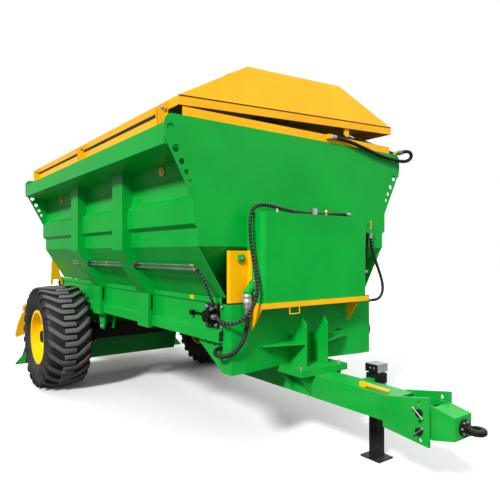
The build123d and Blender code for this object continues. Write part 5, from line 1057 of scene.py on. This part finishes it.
class SPREADER_OT_fittings(Operator):
    """Turned fittings, clips and rings of tank, pipes and hoses"""

    bl_idname = "spreader.fittings"
    bl_label = "Fittings"

    # Radius and height along the fitting's axis
    NIPPLE = (
        (0.013, 0.0), (0.013, 0.014), (0.009, 0.016), (0.009, 0.026), (0.012, 0.028), (0.012, 0.044),
        (0.008, 0.050),
    )
    STACK = (
        (0.015, 0.0), (0.015, 0.018), (0.010, 0.020), (0.010, 0.030), (0.014, 0.032), (0.014, 0.052),
        (0.009, 0.056), (0.009, 0.066), (0.011, 0.068), (0.006, 0.076),
    )
    VENT = ((0.016, 0.0), (0.016, 0.010), (0.010, 0.014), (0.010, 0.030), (0.005, 0.036))
    SLEEVE = (
        (0.025, 0.0), (0.026, 0.003), (0.026, 0.032), (0.032, 0.036), (0.033, 0.040), (0.033, 0.062),
        (0.031, 0.065), (0.031, 0.074), (0.033, 0.077), (0.033, 0.098), (0.031, 0.102),
    )
    GROMMET = ((0.026, -0.002), (0.034, 0.002), (0.034, 0.008), (0.028, 0.013), (0.018, 0.013))
    COUPLING = (
        (0.009, 0.0), (0.015, 0.002), (0.015, 0.020), (0.011, 0.022), (0.011, 0.028), (0.015, 0.030),
        (0.015, 0.048), (0.009, 0.050),
    )
    PIPE = (
        (0.010, 0.0), (0.015, 0.002), (0.015, 0.022), (0.009, 0.024), (0.009, 0.574), (0.015, 0.576),
        (0.015, 0.594), (0.010, 0.598),
    )
    LINCH = (
        (0.002, -0.046), (0.0042, -0.043), (0.0042, 0.030), (0.0075, 0.032), (0.0075, 0.046), (0.003, 0.050),
    )
    PLUG = ((0.030, -0.010), (0.036, -0.004), (0.036, 0.004), (0.026, 0.007))

    UP = (0, 0, 1)
    AHEAD = (1, 0, 0)
    PIPE_TOP = Vector((3.112, 0.768, 1.735))
    PIPE_FOOT = Vector((3.056, 0.768, 1.140))

    # Name, profile, sides, places with axes, slot, and finish where it isn't the slot's own
    TURNED = (
        ("tank_nipple", NIPPLE, 12, [((3.190, 0.164, 1.851), UP)], "bright_steel", "brass"),
        ("tank_vent", VENT, 16, [((3.190, -0.352, 1.851), UP)], "galvanised", None),
        ("wall_port_fitting", STACK, 12, [((3.125, 0.790, 1.765), UP)], "bright_steel", "brass"),
        ("suction_sleeve", SLEEVE, 32, [((3.185, -0.626, 1.155), UP)], "galvanised", None),
        ("pipe_grommets", GROMMET, 28, [
            ((0.7725, -0.935, 1.447), AHEAD), ((1.9705, -0.935, 1.447), AHEAD),
        ], "belt_rubber", None),
        ("pipe_couplings", COUPLING, 6, [
            ((1.240, -0.935, 1.461), AHEAD), ((1.260, -0.935, 1.433), AHEAD), ((2.918, -0.935, 1.461), AHEAD),
        ], "bright_steel", "brass"),
        ("left_pipe", PIPE, 16, [(PIPE_TOP, PIPE_FOOT - PIPE_TOP)], "black_paint", None),
        ("linch_pins", LINCH, 12, [
            ((4.259, -0.146, 0.5895), (-0.70, 0, 0.55)), ((4.259, -0.146, 0.4765), (0.70, 0, 0.60)),
        ], "bright_steel", None),
    )

    # Name, size, place, bevel and slot
    BLOCKS = (
        ("guard_lug", (0.024, 0.058, 0.058), (3.120, -0.632, 1.515), 0.008, "green_paint"),
        ("pipe_clip", (0.040, 0.044, 0.026), (3.079, 0.768, 1.386), 0.005, "galvanised"),
    )

    # Name, width, height, wire and place
    RINGS = (
        ("bracket_ring", 0.095, 0.056, 0.008, (3.286, -0.262, 1.130)),
        ("hose_block_ring", 0.030, 0.060, 0.006, (3.060, 0.800, 1.064)),
    )

    GUARD_BOLT = (3.132, -0.632, 1.515)
    GUARD_BOLT_RADIUS = 0.010
    PLUG_PLACE = (3.094, 0.388, 0.902)
    PLUG_SHARE = 0.34
    COVER_SIZE = (0.112, 0.112, 0.074)
    COVER_BEVEL = 0.004
    COVER_BORE = (0.1035, 0.1035, 0.2)
    BORE_BEVEL = 0.002
    COVER_DROP = 0.034
    DRILL_LENGTH = 0.03
    PLATE = 0.005
    PLATE_BEVEL = 0.0015
    PLATE_SINK = 0.0015
    PLATE_HOLES = (-0.012, 0.023)
    PLATE_HOLE = 0.009
    PLATE_HOLE_RISE = 0.002

    def slot_plug(self):
        plug = turned("bulkhead_plug", self.PLUG, 32)
        plug.data.transform(Matrix.Scale(self.PLUG_SHARE, 4, (1, 0, 0)))
        plug.data.transform(facing(at(*self.PLUG_PLACE), self.AHEAD))
        settle(plug, "chassis", "belt_rubber")

    def jack_cover(self):
        leg = middle("jack_leg")
        place = Vector((leg.x, leg.y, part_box("jack_sleeve")[1].z - self.COVER_DROP))
        cover = bevelled_box("jack_cover", self.COVER_SIZE, place, self.COVER_BEVEL)
        cut_away(cover, bevelled_box("inner", self.COVER_BORE, place, self.BORE_BEVEL))
        settle(cover, "chassis", "black_paint")

    def jack_plate(self):
        size = extent("jack_head")
        place = middle("jack_head")
        place.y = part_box("jack_head")[0].y - self.PLATE_SINK
        plate = bevelled_box("jack_plate", (size.x, self.PLATE, size.z), place, self.PLATE_BEVEL)
        for along in self.PLATE_HOLES:
            clear_selection()
            bpy.ops.mesh.primitive_cylinder_add(
                vertices=24, radius=self.PLATE_HOLE, depth=self.DRILL_LENGTH, rotation=(math.pi / 2, 0, 0)
            )
            drill = label("drill")
            drill.location = place + Vector((along, 0, self.PLATE_HOLE_RISE))
            cut_away(plate, drill)
        settle(plate, "jack_leg", "black_paint")

    def execute(self, context):
        for name, profile, sides, places, slot, finish in self.TURNED:
            matrices = [facing(at(*place), axis) for place, axis in places]
            settle(copies(turned(name, profile, sides), matrices, name), "chassis", slot, finish)
        self.slot_plug()
        self.jack_cover()
        self.jack_plate()
        for name, size, place, bevel, slot in self.BLOCKS:
            settle(bevelled_box(name, size, at(*place), bevel), "chassis", slot)
        for name, width, height, wire, place in self.RINGS:
            settle(wire_ring(name, width, height, wire, at(*place)), "chassis", "yellow_paint")
        guard = [(at(*self.GUARD_BOLT), self.AHEAD)]
        bolt_set("guard_bolt", self.GUARD_BOLT_RADIUS, guard, "chassis")
        return {"FINISHED"}


class SPREADER_OT_lid_shade_strips(Operator):
    """Black rubber strips that paint the shade in the gap along the rim and the shadow under the front edge of the
    roof
    """

    bl_idname = "spreader.lid_seals"
    bl_label = "Lid Shade Strips"

    RIM_Y = 1.1615
    RIM_TOP = 2.548
    RIM_ENDS = (-0.690, 2.980)
    RIM_BAND = 0.026
    RIM_THICKNESS = 0.003
    SHADOW_LINE = 0.009
    SHADOW_LINE_THICKNESS = 0.004
    SHADOW_LINE_RIGHT = (-1.130, 2.620)
    SHADOW_LINE_LEFT = 1.127
    EDGE = 0.001

    def execute(self, context):
        rear, front = self.RIM_ENDS
        size = (front - rear, self.RIM_THICKNESS, self.RIM_BAND)
        # Painted shade: a black rubber strip on each rim, where the gap under the lid's edge lies in shade.
        for side, sign in SIDES:
            place = at((front + rear) / 2, sign * self.RIM_Y, self.RIM_TOP - self.RIM_BAND / 2)
            settle(bevelled_box("rim_shade_strip_" + side, size, place, self.EDGE), "chassis", "belt_rubber")
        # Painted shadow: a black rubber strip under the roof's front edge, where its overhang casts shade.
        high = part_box("lid_frame")[1]
        right = Vector((high.x, *self.SHADOW_LINE_RIGHT))
        left = Vector((high.x, self.SHADOW_LINE_LEFT, high.z))
        size = (self.SHADOW_LINE_THICKNESS, (left - right).length - self.SHADOW_LINE_THICKNESS, self.SHADOW_LINE)
        lean = math.atan2(left.z - right.z, left.y - right.y)
        shadow_line = bevelled_box("lid_front_shadow_strip", size, (left + right) / 2, self.EDGE, lean)
        settle(shadow_line, "lid", "belt_rubber")
        return {"FINISHED"}


class SPREADER_OT_stage(Operator):
    """Pale floor, soft light and the camera"""

    bl_idname = "spreader.stage"
    bl_label = "Studio"

    # Name, way to the light, its spread in degrees and its share of the key strength
    LIGHTS = (
        ("key_light", (0.50, -1.0, 0.80), 9.0, 1.08),
        ("side_light", (0.45, -1.0, 0.30), 70.0, 0.06),
        ("front_light", (1.0, 0.10, 0.60), 80.0, 0.22),
    )
    SKY_WAY = (-0.25, 0.40, 0.85)
    SKY_SPREAD = (0.10, 0.70)
    SKY_BASE = 0.18
    FLOOR_SIDE = 90
    FLOOR_PALE = ((0.88, 0.88, 0.88), (0.92, 0.92, 0.92))
    FLOOR_BOUNCE = (0.12, 0.12, 0.12)
    WHITE = (1.0, 1.0, 1.0, 1.0)

    def floor(self):
        clear_selection()
        bpy.ops.mesh.primitive_plane_add(size=self.FLOOR_SIDE, location=(0, 0, 0))
        floor = label("studio_floor")
        tree, shader = material("studio_floor")
        cloud = noise(tree, object_place(tree), 0.6, detail=3.0)
        pale = mix_colours(tree, cloud, *self.FLOOR_PALE)
        rays = tree.nodes.new("ShaderNodeLightPath")
        seen = mix_colours(tree, rays.outputs["Is Camera Ray"], self.FLOOR_BOUNCE, pale)
        tree.links.new(seen, shader.inputs["Base Color"])
        shader.inputs["Roughness"].default_value = 0.7
        floor.data.materials.append(FINISHES["studio_floor"])

    def surround(self, scene, strength):
        world = bpy.data.worlds.new("studio_world")
        world.use_nodes = True
        tree = world.node_tree
        light = next(n for n in tree.nodes if n.type == "BACKGROUND")
        light.inputs["Color"].default_value = self.WHITE
        way = tree.nodes.new("ShaderNodeTexCoord").outputs["Generated"]
        toward = vector_math(tree, "DOT_PRODUCT", way, self.SKY_WAY)
        bright = math_node(tree, "ADD", ramp(tree, toward, *self.SKY_SPREAD), self.SKY_BASE)
        tree.links.new(math_node(tree, "MULTIPLY", bright, strength), light.inputs["Strength"])
        backdrop = add(tree, "ShaderNodeBackground", Color=self.WHITE)
        rays = tree.nodes.new("ShaderNodeLightPath")
        mix = tree.nodes.new("ShaderNodeMixShader")
        tree.links.new(rays.outputs["Is Camera Ray"], mix.inputs[0])
        tree.links.new(light.outputs[0], mix.inputs[1])
        tree.links.new(backdrop.outputs[0], mix.inputs[2])
        ending = next(n for n in tree.nodes if n.type == "OUTPUT_WORLD")
        tree.links.new(mix.outputs[0], ending.inputs["Surface"])
        scene.world = world

    def hold(self, scene, name, data, way):
        holder = bpy.data.objects.new(name, data)
        holder.rotation_euler = Vector(way).to_track_quat("-Z", "Y").to_euler()
        scene.collection.objects.link(holder)
        return holder

    def execute(self, context):
        scene = context.scene
        stage = scene.spreader_stage
        self.floor()
        self.surround(scene, stage.sky)
        for name, source, spread, share in self.LIGHTS:
            lamp = bpy.data.lights.new(name, "SUN")
            lamp.angle = math.radians(spread)
            lamp.energy = stage.key * share
            self.hold(scene, name, lamp, -Vector(source))
        eye = bpy.data.cameras.new("photo_camera")
        eye.sensor_width = 36.0
        eye.sensor_fit = "HORIZONTAL"
        eye.lens = stage.lens
        scene.camera = self.hold(scene, "photo_camera", eye, stage.forward)
        scene.camera.location = stage.camera
        scene.view_settings.view_transform = "Standard"
        return {"FINISHED"}


OPERATORS = (
    SPREADER_OT_stage,
    SPREADER_OT_paint,
    SPREADER_OT_hoses,
    SPREADER_OT_tyres,
    SPREADER_OT_wheel_nuts,
    SPREADER_OT_hose_ends,
    SPREADER_OT_frame_bolts,
    SPREADER_OT_reflectors,
    SPREADER_OT_hose_wraps,
    SPREADER_OT_fittings,
    SPREADER_OT_lid_shade_strips,
)


class SPREADER_PT_panel(Panel):
    """Steps that dress the spreader"""

    bl_idname = "SPREADER_PT_panel"
    bl_label = "Spreader"
    bl_space_type = "VIEW_3D"
    bl_region_type = "UI"
    bl_category = "Spreader"

    def draw(self, context):
        scene = context.scene
        for operator in OPERATORS:
            self.layout.operator(operator.bl_idname)
        for group in (scene.spreader_colours, scene.spreader_sizes, scene.spreader_stage):
            for name in group.__annotations__:
                self.layout.prop(group, name)


CLASSES = (SpreaderColours, SpreaderSizes, SpreaderStage, *OPERATORS, SPREADER_PT_panel)


def register():
    for kind in CLASSES:
        bpy.utils.register_class(kind)
    bpy.types.Scene.spreader_colours = PointerProperty(type=SpreaderColours)
    bpy.types.Scene.spreader_sizes = PointerProperty(type=SpreaderSizes)
    bpy.types.Scene.spreader_stage = PointerProperty(type=SpreaderStage)


def unregister():
    del bpy.types.Scene.spreader_stage
    del bpy.types.Scene.spreader_sizes
    del bpy.types.Scene.spreader_colours
    for kind in reversed(CLASSES):
        bpy.utils.unregister_class(kind)


def main():
    register()
    bpy.ops.spreader.stage()
    bpy.ops.spreader.paint()
    bpy.ops.spreader.hoses()
    bpy.ops.spreader.tyres()
    bpy.ops.spreader.wheel_nuts()
    bpy.ops.spreader.hose_ends()
    bpy.ops.spreader.frame_bolts()
    bpy.ops.spreader.reflectors()
    bpy.ops.spreader.hose_wraps()
    bpy.ops.spreader.fittings()
    bpy.ops.spreader.lid_seals()


if __name__ == "__main__":
    main()
